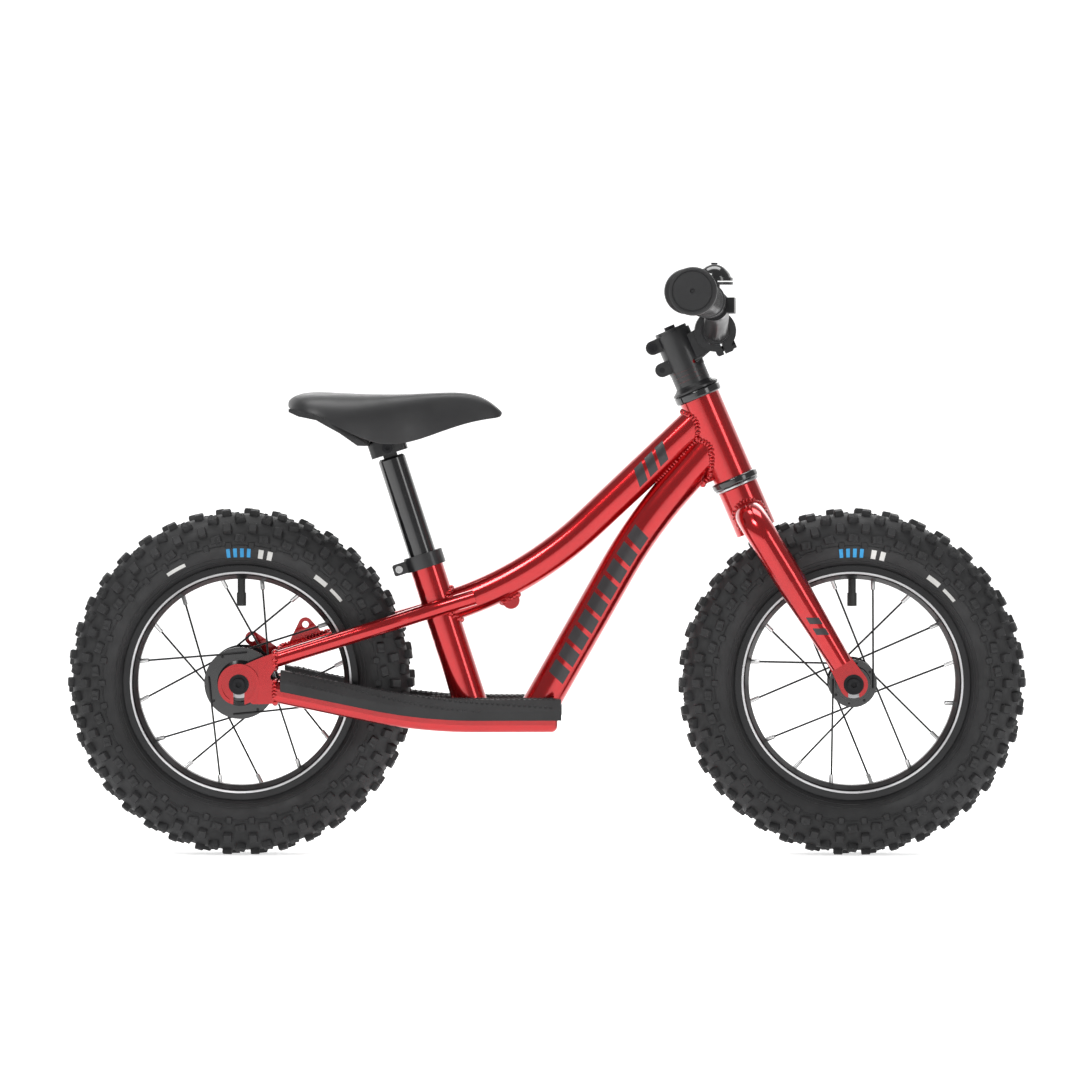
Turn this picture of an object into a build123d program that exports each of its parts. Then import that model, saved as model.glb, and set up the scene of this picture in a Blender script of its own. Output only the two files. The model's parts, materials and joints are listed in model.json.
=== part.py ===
from build123d import *
import math
import os

# Balance bike for a small child: an alloy frame with a footrest, a rigid fork, two spoked
# wheels with knobbly tyres, a saddle on a sliding post and a riser handlebar with a bell.
# Millimetres. +X is forward, +Y is the rider's left, +Z is up. The origin is on the ground,
# midway between the two axles, in the centre plane of the bike.

# ---------------------------------------------------------------- driving dimensions
WHEELBASE = 561.0
TYRE_OD = 317.0
TYRE_WIDTH = 57.0
BEAD_SEAT_R = 101.5
RIM_LIP_R = 107.5
RIM_INNER_R = 94.8
RIM_WIDTH = 32.0

HEAD_ANGLE = 66.75
FORK_RAKE = 25.8
AXLE_TO_HEAD = 216.3
HEAD_LENGTH = 79.0
HEAD_OD = 38.0
HEAD_BORE = 34.0

SEAT_ANGLE = 72.1
SEAT_FOOT_AHEAD = 212.2
SEAT_TUBE_OD = 31.0
SEAT_TUBE_LENGTH = 148.0
POST_OD = 25.4
POST_SHOWING = 95.0
POST_INSERT = 75.0

TOP_TUBE_OD = 30.0
TOP_TUBE_DROP = 15.0
TOP_TUBE_RISE = 96.0
TOP_TUBE_LOWER_RUN = 88.0
TOP_TUBE_LOWER_SLOPE = 18.5
TOP_TUBE_BEND_SHARE = 0.84
DOWN_TUBE_OD = 33.6
DOWN_TUBE_LIFT = 37.0
DOWN_FOOT_AHEAD = 60.5
DOWN_TUBE_LOWER_RUN = 192.0
DOWN_TUBE_LOWER_SLOPE = 60.4
DOWN_TUBE_BEND_SHARE = 0.42
TUBE_WALL = 2.0

DECK_TOP = 134.0
DECK_THICKNESS = 12.0
LOWER_STAY_WIDTH = 18.0
LOWER_STAY_HEIGHT = 20.0
LOWER_STAY_CORNER = 7.0
LOWER_STAY_LEVEL = 124.0
LOWER_STAY_REAR_LIFT = 28.6
LOWER_STAY_BEND_AHEAD = 167.5
LOWER_STAY_BEND_SHARE = 0.4
PAD_REACH_OUT = 13.0
PAD_SIDE_LOW = 1.4
PAD_SIDE_HIGH = 9.6
PAD_TOP = 20.2
PAD_TOP_OUT = 5.0
PAD_REACH_IN = 9.6
PAD_NOSE = 3.0

UPPER_STAY_OD = 14.5
UPPER_STAY_SLOPE = 17.2
AXLE_TO_UPPER_STAY_X = 33.0
AXLE_TO_UPPER_STAY_Z = 21.9
STAY_REAR_Y = 47.0
STAY_FRONT_Y = 34.5
STAY_TYRE_Y = 40.0
REAR_HUB_WIDTH = 90.0
FRONT_HUB_WIDTH = 84.0
DROPOUT_THICKNESS = 6.0
HOOD_R = 19.0
HOOD_WALL = 3.2
HOOD_DEPTH = 3.5

LEG_SLOPE = 31.5
LEG_TOP_OD = 27.5
LEG_TIP_OD = 20.5
LEG_ELBOW_R = 23.0
CROWN_OD = 38.0
CROWN_LENGTH = 43.5
STEERER_OD = 28.6
STEERER_WALL = 2.6

CUP_OD = 44.0
UPPER_CUP_HEIGHT = 7.8
LOWER_CUP_HEIGHT = 7.0
CUP_INSERT = 8.0
BEARING_OD = 40.0
BEARING_HEIGHT = 6.0
RACE_R = 15.05
RACE_HEIGHT = 2.4
COVER_HEIGHT = 6.6
SPACER_HEIGHT = 4.6
SPACER_COUNT = 3
SPACER_OD = 33.0

STEM_CLAMP_OD = 34.0
STEM_CLAMP_HEIGHT = 37.0
STEM_REACH = 37.3
STEM_BAR_RISE = 22.4
BAR_CLAMP_OD = 25.4
BAR_CLAMP_WIDTH = 40.0
STEM_RING_R = 19.0
FACE_BOLT_OFFSET = 17.8
TOP_CAP_OD = 30.0
TOP_CAP_HEIGHT = 3.0

BAR_OD = 22.2
BAR_WIDTH = 420.0
BAR_RISE_Y = 72.0
BAR_RISE = 21.3
BAR_UPSWEEP = 5.3
BAR_BACKSWEEP = 9.3
BAR_CENTRE_Y = 26.0
GRIP_LENGTH = 98.0
GRIP_R = 14.5
GRIP_FLANGE_R = 21.6
GRIP_FLANGE = 7.0
BELL_Y = 92.0
BELL_BASE_LIFT = 19.0
BELL_R = 15.5
BELL_BASE_R = 17.0
BELL_HEIGHT = 15.5
BELL_WALL = 1.2
BELL_RIM = 3.0
LEVER_PIVOT_BACK = 21.5
LEVER_LENGTH = 13.0

COLLAR_OD = 36.7
COLLAR_HEIGHT = 11.6
COLLAR_LUG_REACH = 30.0
CLAMP_GAP = 3.0
CLAMP_HEIGHT = 12.0
CLAMP_LENGTH = 34.0
CLAMP_WIDTH = 30.0
TONGUE_WIDTH = 12.0
TONGUE_R = 6.5
CLAMP_PIN_R = 3.0

AXLE_R = 5.0
AXLE_BOLT_R = 3.0
BEARING_HUB_R = 13.0
BEARING_HUB_WIDTH = 8.0
HUB_BODY_R = 15.5
FLANGE_Y = 25.0
FLANGE_THICKNESS = 3.0
SPOKES_PER_SIDE = 8
SPOKE_R = 0.9
SPOKE_STEP = 45.0
SPOKE_CROSS = 90.0
NIPPLE_R = 2.0
NIPPLE_LENGTH = 11.0
VALVE_R = 3.6
VALVE_LENGTH = 25.0
VALVE_CAP_LENGTH = 12.0
VALVE_CAP_R = 4.4

SLIDE_FIT = 0.05
RUNNING_FIT = 0.05
CLEARANCE = 0.4
M5_R = 2.5
M5_HEAD_R = 4.3
M5_HEAD = 5.0

# ---------------------------------------------------------------- derived frame lines
WHEEL_R = TYRE_OD / 2
REAR_AXLE_X = -WHEELBASE / 2
FRONT_AXLE_X = WHEELBASE / 2


def polar(angle, length=1.0):
    return Vector(length * math.cos(math.radians(angle)), length * math.sin(math.radians(angle)))


# The steering frame: x ahead of the steering axis, z up along it, and its origin at the
# point of the axis nearest the front axle.
AXIS_UP = polar(180 - HEAD_ANGLE)
AXIS_AHEAD = polar(90 - HEAD_ANGLE)
STEER = Plane(
    origin=(FRONT_AXLE_X - FORK_RAKE * AXIS_AHEAD.X, 0, WHEEL_R - FORK_RAKE * AXIS_AHEAD.Y),
    x_dir=(AXIS_AHEAD.X, 0, AXIS_AHEAD.Y),
    z_dir=(AXIS_UP.X, 0, AXIS_UP.Y),
)
HEAD_LOW = AXLE_TO_HEAD
HEAD_HIGH = AXLE_TO_HEAD + HEAD_LENGTH
RACE_LOW = HEAD_LOW - LOWER_CUP_HEIGHT - RACE_HEIGHT
CROWN_LOW = RACE_LOW - CROWN_LENGTH
STEM_LOW = HEAD_HIGH + UPPER_CUP_HEIGHT + COVER_HEIGHT + SPACER_COUNT * SPACER_HEIGHT
STEM_HIGH = STEM_LOW + STEM_CLAMP_HEIGHT
STEER_SIDE = Plane(origin=STEER.origin, x_dir=STEER.x_dir, z_dir=(0, -1, 0))


def on_steer(ahead, up):
    """A point of the centre plane, as (X, Z), from its place in the steering frame."""
    point = STEER.from_local_coords(Vector(ahead, 0, up))
    return Vector(point.X, point.Z)


# The seat tube frame: its z runs up along the seat tube and post from the deck.
SEAT_FOOT = Vector(REAR_AXLE_X + SEAT_FOOT_AHEAD, DECK_TOP)
SEAT_UP = polar(180 - SEAT_ANGLE)
SEAT = Plane(
    origin=(SEAT_FOOT.X, 0, SEAT_FOOT.Y),
    x_dir=(SEAT_UP.Y, 0, -SEAT_UP.X),
    z_dir=(SEAT_UP.X, 0, SEAT_UP.Y),
)
SEAT_SIDE = Plane(origin=SEAT.origin, x_dir=SEAT.x_dir, z_dir=(0, -1, 0))
POST_TOP = SEAT_TUBE_LENGTH + POST_SHOWING
CLAMP_LOW = POST_TOP + CLAMP_GAP
CLAMP_PIN_UP = CLAMP_LOW + CLAMP_HEIGHT / 2

DOWN_FOOT = SEAT_FOOT + Vector(DOWN_FOOT_AHEAD, 0)
DOWN_BEND = DOWN_FOOT + polar(DOWN_TUBE_LOWER_SLOPE, DOWN_TUBE_LOWER_RUN)
DOWN_HEAD = on_steer(0, HEAD_LOW + DOWN_TUBE_LIFT)
TOP_SEAT = SEAT_FOOT + SEAT_UP * TOP_TUBE_RISE
TOP_BEND = TOP_SEAT + polar(TOP_TUBE_LOWER_SLOPE, TOP_TUBE_LOWER_RUN)
TOP_HEAD = on_steer(0, HEAD_HIGH - TOP_TUBE_DROP)

os.makedirs("parts", exist_ok=True)


# ---------------------------------------------------------------- helpers
def bend_radii(points, share):
    """The radius at each corner whose tangents take the given share of the shorter run."""
    radii = []
    for before, corner, after in zip(points, points[1:], points[2:]):
        run_in = corner - before
        run_out = after - corner
        half_turn = math.radians(run_in.get_angle(run_out)) / 2
        shorter = min(run_in.length, run_out.length)
        radii.append(share * shorter / math.tan(half_turn))
    return radii


def round_tube(points, share, outer_r, inner_r, plane=Plane.XZ):
    """Sweeps a round tube, or a rod where inner_r is 0, along the bent line of points."""
    with BuildLine(plane) as path:
        FilletPolyline(*[tuple(point) for point in points], radius=bend_radii(points, share))
    with BuildSketch(Plane(origin=path.line @ 0, z_dir=path.line % 0)) as section:
        Circle(outer_r)
        if inner_r:
            Circle(inner_r, mode=Mode.SUBTRACT)
    sweep(section.sketch, path=path.line)


def ring(plane, low, height, outer_r, inner_r=0.0):
    """A straight ring or disc standing on the plane, from low to low + height."""
    with BuildSketch(plane.offset(low)) as section:
        Circle(outer_r)
        if inner_r:
            Circle(inner_r, mode=Mode.SUBTRACT)
    extrude(section.sketch, amount=height)


def cross_rod(x, z, half_length, radius, mode=Mode.ADD, plane=Plane.XZ):
    """A round bar lying across the bike, centred on the centre plane."""
    with BuildSketch(plane) as section:
        with Locations((x, z)):
            Circle(radius)
    extrude(section.sketch, amount=half_length, both=True, mode=mode)


def left_plane(y):
    """The upright plane at y on the left side, facing outwards, with its x along -X."""
    return Plane(origin=(0, y, 0), x_dir=(-1, 0, 0), z_dir=(0, 1, 0))


def write_pair(stem, left):
    """Writes the left piece and its mirror image across the centre plane."""
    for name, piece in ((stem + "_left", left), (stem + "_right", mirror(left, about=Plane.XZ))):
        piece.label = name
        export_step(piece, f"parts/{name}.step")


# ---------------------------------------------------------------- envelopes for the mitres
with BuildPart() as head_envelope:
    ring(STEER, HEAD_LOW, HEAD_LENGTH, HEAD_OD / 2)

with BuildPart() as seat_envelope:
    ring(SEAT, 0, SEAT_TUBE_LENGTH, SEAT_TUBE_OD / 2)

with BuildPart() as down_envelope:
    round_tube([DOWN_FOOT, DOWN_BEND, DOWN_HEAD], DOWN_TUBE_BEND_SHARE, DOWN_TUBE_OD / 2, 0)

with BuildPart() as top_envelope:
    round_tube([TOP_SEAT, TOP_BEND, TOP_HEAD], TOP_TUBE_BEND_SHARE, TOP_TUBE_OD / 2, 0)

# ---------------------------------------------------------------- main frame tubes
with BuildPart() as head_tube:
    ring(STEER, HEAD_LOW, HEAD_LENGTH, HEAD_OD / 2, HEAD_BORE / 2)
head_tube.part.label = "head_tube"
export_step(head_tube.part, "parts/head_tube.step")

POST_SLIT_WIDTH = 2.0
POST_SLIT_DEPTH = 24.0
with BuildPart() as seat_tube:
    ring(SEAT, 0, SEAT_TUBE_LENGTH, SEAT_TUBE_OD / 2, POST_OD / 2 + SLIDE_FIT)
    split(bisect_by=Plane.XY.offset(DECK_TOP), keep=Keep.TOP)
    with BuildSketch(SEAT_SIDE):
        with Locations((-SEAT_TUBE_OD / 2, SEAT_TUBE_LENGTH)):
            Rectangle(SEAT_TUBE_OD / 2, 2 * POST_SLIT_DEPTH)
    extrude(amount=POST_SLIT_WIDTH / 2, both=True, mode=Mode.SUBTRACT)
seat_tube.part.label = "seat_tube"
export_step(seat_tube.part, "parts/seat_tube.step")

with BuildPart() as down_tube:
    round_tube(
        [DOWN_FOOT - polar(DOWN_TUBE_LOWER_SLOPE, DOWN_TUBE_OD), DOWN_BEND, DOWN_HEAD],
        DOWN_TUBE_BEND_SHARE,
        DOWN_TUBE_OD / 2,
        DOWN_TUBE_OD / 2 - TUBE_WALL,
    )
    split(bisect_by=Plane.XY.offset(DECK_TOP), keep=Keep.TOP)
    add(head_envelope.part, mode=Mode.SUBTRACT)
down_tube.part.label = "down_tube"
export_step(down_tube.part, "parts/down_tube.step")

with BuildPart() as top_tube:
    round_tube(
        [TOP_SEAT, TOP_BEND, TOP_HEAD],
        TOP_TUBE_BEND_SHARE,
        TOP_TUBE_OD / 2,
        TOP_TUBE_OD / 2 - TUBE_WALL,
    )
    add(head_envelope.part, mode=Mode.SUBTRACT)
    add(seat_envelope.part, mode=Mode.SUBTRACT)
    add(down_envelope.part, mode=Mode.SUBTRACT)
top_tube.part.label = "top_tube"
export_step(top_tube.part, "parts/top_tube.step")

# A flat web stiffens the down tube just above the lower end of the head tube.
GUSSET_THICKNESS = 8.0
GUSSET_LENGTH = 24.0
GUSSET_DEPTH = 17.0
with BuildPart() as head_gusset:
    with BuildSketch(STEER_SIDE):
        Polygon(
            (0, HEAD_LOW + 4),
            (-HEAD_OD / 2 - GUSSET_LENGTH / 4, HEAD_LOW + 4),
            (-HEAD_OD / 2 - GUSSET_LENGTH, HEAD_LOW + 4 + GUSSET_DEPTH / 4),
            (0, HEAD_LOW + DOWN_TUBE_LIFT),
            align=None,
        )
    extrude(amount=GUSSET_THICKNESS / 2, both=True)
    add(head_envelope.part, mode=Mode.SUBTRACT)
    add(down_envelope.part, mode=Mode.SUBTRACT)
head_gusset.part.label = "head_gusset"
export_step(head_gusset.part, "parts/head_gusset.step")

# A blind boss under the top tube, where a brake hose can be tied down.
BOSS_R = 8.0
BOSS_WIDTH = 12.0
BOSS_ALONG = 0.78
BOSS_DROP = 13.5
BOSS_CENTRE = TOP_SEAT + (TOP_BEND - TOP_SEAT) * BOSS_ALONG - Vector(0, BOSS_DROP)
with BuildPart() as cable_boss:
    cross_rod(BOSS_CENTRE.X, BOSS_CENTRE.Y, BOSS_WIDTH / 2, BOSS_R)
    add(top_envelope.part, mode=Mode.SUBTRACT)
cable_boss.part.label = "cable_boss"
export_step(cable_boss.part, "parts/cable_boss.step")

# ---------------------------------------------------------------- rear dropouts and stays
# Pieces in left and right pairs are drawn on the left side, and mirrored for the right.
YOKE_FRONT = REAR_AXLE_X + AXLE_TO_UPPER_STAY_X
YOKE_WIDTH = 14.0
YOKE_LENGTH = 15.0
YOKE_HEIGHT = 50.0
YOKE_LIFT = 5.0
SLOT_WIDTH = 2 * (AXLE_R + SLIDE_FIT)
MOUTH_WIDTH = 17.0
REAR_DROPOUT_INNER = REAR_HUB_WIDTH / 2
REAR_AXLE_AT = (-REAR_AXLE_X, WHEEL_R)
ARM_OVER = [(0, 16), (20, 24.6), (33, 29.3)]
ARM_MOUTH = [(33, 14), (29, 8), (29, 5), (33, 2.6)]
ARM_UNDER = [(33, -17.3), (13, -18), (0, -10)]


def draw_dropout():
    """The round hood about the axle, with its arm to both stays."""
    with Locations(REAR_AXLE_AT):
        Circle(HOOD_R)
    outline = ARM_OVER + ARM_MOUTH + ARM_UNDER
    Polygon(*[(REAR_AXLE_AT[0] - x, WHEEL_R + z) for x, z in outline], align=None)


with BuildPart() as dropout:
    with BuildSketch(left_plane(REAR_DROPOUT_INNER)):
        draw_dropout()
        with Locations(REAR_AXLE_AT):
            Circle(SLOT_WIDTH / 2, mode=Mode.SUBTRACT)
        with Locations((REAR_AXLE_AT[0], WHEEL_R - HOOD_R)):
            Rectangle(SLOT_WIDTH, 2 * HOOD_R, mode=Mode.SUBTRACT)
    extrude(amount=DROPOUT_THICKNESS)
    with BuildSketch(left_plane(REAR_DROPOUT_INNER + DROPOUT_THICKNESS)):
        with Locations(REAR_AXLE_AT):
            Circle(HOOD_R)
            Circle(HOOD_R - HOOD_WALL, mode=Mode.SUBTRACT)
        with Locations((REAR_AXLE_AT[0], WHEEL_R - HOOD_R)):
            Rectangle(MOUTH_WIDTH, 2 * HOOD_R, mode=Mode.SUBTRACT)
    extrude(amount=HOOD_DEPTH)
    with BuildSketch(left_plane(STAY_REAR_Y)):
        draw_dropout()
        with Locations((-YOKE_FRONT + YOKE_LENGTH / 2, WHEEL_R + YOKE_LIFT)):
            Rectangle(YOKE_LENGTH, YOKE_HEIGHT, mode=Mode.INTERSECT)
    extrude(amount=YOKE_WIDTH / 2, both=True)
write_pair("dropout", dropout.part)


def upper_stay_line(front_trim):
    """The corner points of the upper stay, from the yoke to beside the top tube."""
    rear = Vector(YOKE_FRONT - 2, STAY_REAR_Y, WHEEL_R + AXLE_TO_UPPER_STAY_Z)
    beside_y = (SEAT_TUBE_OD + UPPER_STAY_OD) / 2
    slope = math.tan(math.radians(UPPER_STAY_SLOPE))
    tyre_x = REAR_AXLE_X + WHEEL_R - 30
    kink_x = SEAT_FOOT.X - 44
    front_x = TOP_SEAT.X + 32 - front_trim
    return [
        rear,
        Vector(tyre_x, STAY_TYRE_Y, rear.Z + slope * (tyre_x - rear.X)),
        Vector(kink_x, beside_y, rear.Z + slope * (kink_x - rear.X)),
        Vector(front_x, beside_y, rear.Z + slope * (front_x - rear.X)),
    ]


UPPER_STAY_BEND_SHARE = 0.42
with BuildPart() as upper_stay_envelope:
    round_tube(upper_stay_line(0), UPPER_STAY_BEND_SHARE, UPPER_STAY_OD / 2, 0, Plane.XY)

with BuildPart() as upper_stay_bore:
    round_tube(upper_stay_line(3), UPPER_STAY_BEND_SHARE, UPPER_STAY_OD / 2 - TUBE_WALL, 0, Plane.XY)

with BuildPart() as upper_stay:
    add(upper_stay_envelope.part)
    add(upper_stay_bore.part, mode=Mode.SUBTRACT)
    split(bisect_by=Plane.YZ.offset(YOKE_FRONT), keep=Keep.TOP)
    add(seat_envelope.part, mode=Mode.SUBTRACT)
    add(top_envelope.part, mode=Mode.SUBTRACT)
write_pair("upper_stay", upper_stay.part)

# Two ears on the left stay carry a disc brake caliper.
DISC_PITCH = 51.0
DISC_SLOPE = 14.6
DISC_CENTRE = Vector(32.35, 44.25)
DISC_EARS = [tuple(DISC_CENTRE + polar(DISC_SLOPE, side * DISC_PITCH / 2))[:2] for side in (-1, 1)]
DISC_FEET = [[(14, 25), (30, 29)], [(42, 32), (74, 40)]]
DISC_WEB = [(14, 22), (20, 27), (78, 44), (72, 36)]
DISC_EAR_R = 6.5
DISC_HOLE_R = 3.05
DISC_MOUNT_WIDTH = 6.0
DISC_MOUNT_Y = STAY_REAR_Y - 1.0


def from_rear_axle(points):
    return [(-REAR_AXLE_X - x, WHEEL_R + z) for x, z in points]


with BuildPart() as disc_mount:
    for ear, foot in zip(from_rear_axle(DISC_EARS), DISC_FEET):
        with BuildSketch(left_plane(DISC_MOUNT_Y)):
            with Locations(ear):
                Circle(DISC_EAR_R)
            with Locations(*from_rear_axle(foot)):
                Circle(1.0)
            make_hull()
            with Locations(ear):
                Circle(DISC_HOLE_R, mode=Mode.SUBTRACT)
    with BuildSketch(left_plane(DISC_MOUNT_Y)):
        Polygon(*from_rear_axle(DISC_WEB), align=None)
    extrude(amount=DISC_MOUNT_WIDTH / 2, both=True)
    add(upper_stay_envelope.part, mode=Mode.SUBTRACT)
    add(dropout.part, mode=Mode.SUBTRACT)
disc_mount.part.label = "disc_mount"
export_step(disc_mount.part, "parts/disc_mount.step")

# ---------------------------------------------------------------- lower stays and footrest
DECK_FRONT_X = DOWN_FOOT.X + 18.0
STAY_REAR_X = YOKE_FRONT - 3.0
STAY_SPAN = math.hypot(DECK_FRONT_X - STAY_REAR_X, STAY_REAR_Y - STAY_FRONT_Y)
LOWER_BEND_RUN = LOWER_STAY_BEND_AHEAD + REAR_AXLE_X - STAY_REAR_X
TOE_IN = Vector(DECK_FRONT_X - STAY_REAR_X, STAY_FRONT_Y - STAY_REAR_Y, 0).normalized()
STAY_SIDE = Plane(
    origin=(STAY_REAR_X, STAY_REAR_Y, 0), x_dir=TOE_IN, z_dir=TOE_IN.cross(Vector(0, 0, 1))
)


def lower_stay_sweep(profile, nose=0.0, mode=Mode.ADD):
    """Sweeps a profile, drawn with x outboard and y up, along the lower stay."""
    points = [
        Vector(0, LOWER_STAY_LEVEL + LOWER_STAY_REAR_LIFT),
        Vector(LOWER_BEND_RUN, LOWER_STAY_LEVEL),
        Vector(STAY_SPAN + nose, LOWER_STAY_LEVEL),
    ]
    with BuildLine(STAY_SIDE) as path:
        FilletPolyline(*[tuple(point) for point in points], radius=bend_radii(points, LOWER_STAY_BEND_SHARE))
    start = Plane(origin=path.line @ 0, x_dir=-STAY_SIDE.z_dir, z_dir=path.line % 0)
    sweep(start * profile, path=path.line, mode=mode)


def stay_section(width, height, corner):
    with BuildSketch() as section:
        RectangleRounded(width, height, corner)
    return section.sketch


with BuildPart() as lower_stay_envelope:
    lower_stay_sweep(stay_section(LOWER_STAY_WIDTH, LOWER_STAY_HEIGHT, LOWER_STAY_CORNER))

STAY_NOSE_R = 6.0
with BuildPart() as lower_stay:
    add(lower_stay_envelope.part)
    fillet(faces().sort_by(Axis.X)[-1].edges(), radius=STAY_NOSE_R)
    lower_stay_sweep(
        stay_section(
            LOWER_STAY_WIDTH - 2 * TUBE_WALL,
            LOWER_STAY_HEIGHT - 2 * TUBE_WALL,
            LOWER_STAY_CORNER - TUBE_WALL,
        ),
        nose=-STAY_NOSE_R - TUBE_WALL,
        mode=Mode.SUBTRACT,
    )
    split(bisect_by=Plane.YZ.offset(YOKE_FRONT), keep=Keep.TOP)
write_pair("lower_stay", lower_stay.part)

# The deck closes the gap between the lower stays and carries the seat and down tubes.
DECK_REAR_X = SEAT_FOOT.X - 38.0
DECK_LENGTH = DECK_FRONT_X - DECK_REAR_X - STAY_NOSE_R
with BuildPart() as footrest_deck:
    with BuildSketch(Plane.XY.offset(DECK_TOP)):
        with Locations((DECK_REAR_X + DECK_LENGTH / 2, 0)):
            RectangleRounded(DECK_LENGTH, 2 * STAY_REAR_Y, LOWER_STAY_CORNER)
    extrude(amount=-DECK_THICKNESS)
    add(lower_stay_envelope.part, mode=Mode.SUBTRACT)
    add(mirror(lower_stay_envelope.part, about=Plane.XZ), mode=Mode.SUBTRACT)
deck_middle = footrest_deck.part.solids().sort_by(SortBy.VOLUME)[-1]
footrest_deck.part = Part(deck_middle.wrapped)
footrest_deck.part.label = "footrest_deck"
export_step(footrest_deck.part, "parts/footrest_deck.step")

# Each rubber pad wraps the top and the outer side of its stay; ahead of the tyre it also
# spreads inwards over the deck.
PAD_OUTLINE = [
    (0, PAD_SIDE_LOW),
    (PAD_REACH_OUT, PAD_SIDE_LOW),
    (PAD_REACH_OUT, PAD_SIDE_HIGH),
    (PAD_TOP_OUT, PAD_TOP),
    (-PAD_REACH_IN, PAD_TOP),
    (-PAD_REACH_IN, LOWER_STAY_HEIGHT / 2),
    (-1, LOWER_STAY_HEIGHT / 2),
]
PAD_SPREAD_IN = 18.6
PAD_REAR_CUT = 5.0
with BuildSketch() as pad_profile:
    Polygon(*PAD_OUTLINE, align=None)
with BuildPart() as footrest_pad:
    lower_stay_sweep(pad_profile.sketch, nose=PAD_NOSE)
    with BuildSketch(Plane.XY.offset(DECK_TOP)):
        Polygon(
            (DECK_REAR_X, PAD_SPREAD_IN),
            (DECK_FRONT_X, PAD_SPREAD_IN),
            (DECK_FRONT_X, STAY_FRONT_Y),
            (DECK_REAR_X, STAY_FRONT_Y + 4),
            align=None,
        )
    extrude(amount=LOWER_STAY_LEVEL + PAD_TOP - DECK_TOP)
    add(lower_stay_envelope.part, mode=Mode.SUBTRACT)
    split(bisect_by=Plane.YZ.offset(YOKE_FRONT + PAD_REAR_CUT), keep=Keep.TOP)
pad_whole = footrest_pad.part.solids().sort_by(SortBy.VOLUME)[-1]
write_pair("footrest_pad", Part(pad_whole.wrapped))

# ---------------------------------------------------------------- seat collar
LUG_WIDTH = 14.0
LUG_SLIT = 2.0
COLLAR_BOLT_BACK = 24.5
COLLAR_LIP = 1.5
with BuildPart() as seat_collar:
    ring(SEAT, SEAT_TUBE_LENGTH - COLLAR_HEIGHT, COLLAR_HEIGHT, COLLAR_OD / 2, SEAT_TUBE_OD / 2)
    ring(SEAT, SEAT_TUBE_LENGTH, COLLAR_LIP, COLLAR_OD / 2, POST_OD / 2 + CLEARANCE)
    with BuildSketch(SEAT_SIDE):
        with Locations((-(SEAT_TUBE_OD / 2 + COLLAR_LUG_REACH) / 2, SEAT_TUBE_LENGTH - COLLAR_HEIGHT / 2)):
            RectangleRounded(COLLAR_LUG_REACH - SEAT_TUBE_OD / 2, COLLAR_HEIGHT - 1, 2)
    extrude(amount=LUG_WIDTH / 2, both=True)
    add(seat_envelope.part, mode=Mode.SUBTRACT)
    with BuildSketch(SEAT_SIDE):
        with Locations((-(SEAT_TUBE_OD / 4 + COLLAR_LUG_REACH / 2), SEAT_TUBE_LENGTH)):
            Rectangle(COLLAR_LUG_REACH, 3 * COLLAR_HEIGHT)
    extrude(amount=LUG_SLIT / 2, both=True, mode=Mode.SUBTRACT)
    cross_rod(
        -COLLAR_BOLT_BACK, SEAT_TUBE_LENGTH - COLLAR_HEIGHT / 2, LUG_WIDTH, M5_R, Mode.SUBTRACT, SEAT_SIDE
    )
seat_collar.part.label = "seat_collar"
export_step(seat_collar.part, "parts/seat_collar.step")


def cap_bolt(origin, direction, shank_r, shank, head_r, head, socket_r):
    """A socket head bolt whose head starts at the origin; its shank runs along direction."""
    seat = Plane(origin=origin, z_dir=direction)
    with BuildPart(mode=Mode.PRIVATE) as bolt:
        with BuildSketch(seat) as shank_round:
            Circle(shank_r)
        extrude(shank_round.sketch, amount=shank)
        with BuildSketch(seat) as head_round:
            Circle(head_r)
        extrude(head_round.sketch, amount=-head)
        with BuildSketch(seat.offset(-head)) as socket:
            RegularPolygon(socket_r, 6)
        extrude(socket.sketch, amount=0.6 * head, mode=Mode.SUBTRACT)
    return bolt.part


collar_bolt_at = SEAT_SIDE.from_local_coords(
    Vector(-COLLAR_BOLT_BACK, SEAT_TUBE_LENGTH - COLLAR_HEIGHT / 2, LUG_WIDTH / 2)
)
with BuildPart() as seat_collar_bolt:
    add(cap_bolt(collar_bolt_at, (0, 1, 0), M5_R, LUG_WIDTH, 3.4, 2.6, 1.8))
seat_collar_bolt.part.label = "seat_collar_bolt"
export_step(seat_collar_bolt.part, "parts/seat_collar_bolt.step")

# ---------------------------------------------------------------- headset
CUP_WALL = 1.4
CUP_SHOULDER = 1.6
CUP_ROUND = 1.9
with BuildPart() as headset_cups:
    ring(STEER, HEAD_HIGH, UPPER_CUP_HEIGHT, CUP_OD / 2, BEARING_OD / 2)
    ring(STEER, HEAD_HIGH, UPPER_CUP_HEIGHT - BEARING_HEIGHT, CUP_OD / 2, HEAD_BORE / 2 - CUP_WALL)
    ring(STEER, HEAD_HIGH - CUP_INSERT, CUP_INSERT, HEAD_BORE / 2, HEAD_BORE / 2 - CUP_WALL)
    ring(STEER, HEAD_LOW - LOWER_CUP_HEIGHT, LOWER_CUP_HEIGHT, CUP_OD / 2, BEARING_OD / 2)
    fillet(edges().filter_by(GeomType.CIRCLE).group_by(SortBy.RADIUS)[-1], radius=CUP_ROUND)
    ring(STEER, HEAD_LOW - CUP_SHOULDER, CUP_SHOULDER, BEARING_OD / 2, HEAD_BORE / 2 - CUP_WALL)
    ring(STEER, HEAD_LOW - CUP_SHOULDER, CUP_INSERT, HEAD_BORE / 2, HEAD_BORE / 2 - CUP_WALL)
headset_cups.part.label = "headset_cups"
export_step(headset_cups.part, "parts/headset_cups.step")

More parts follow.
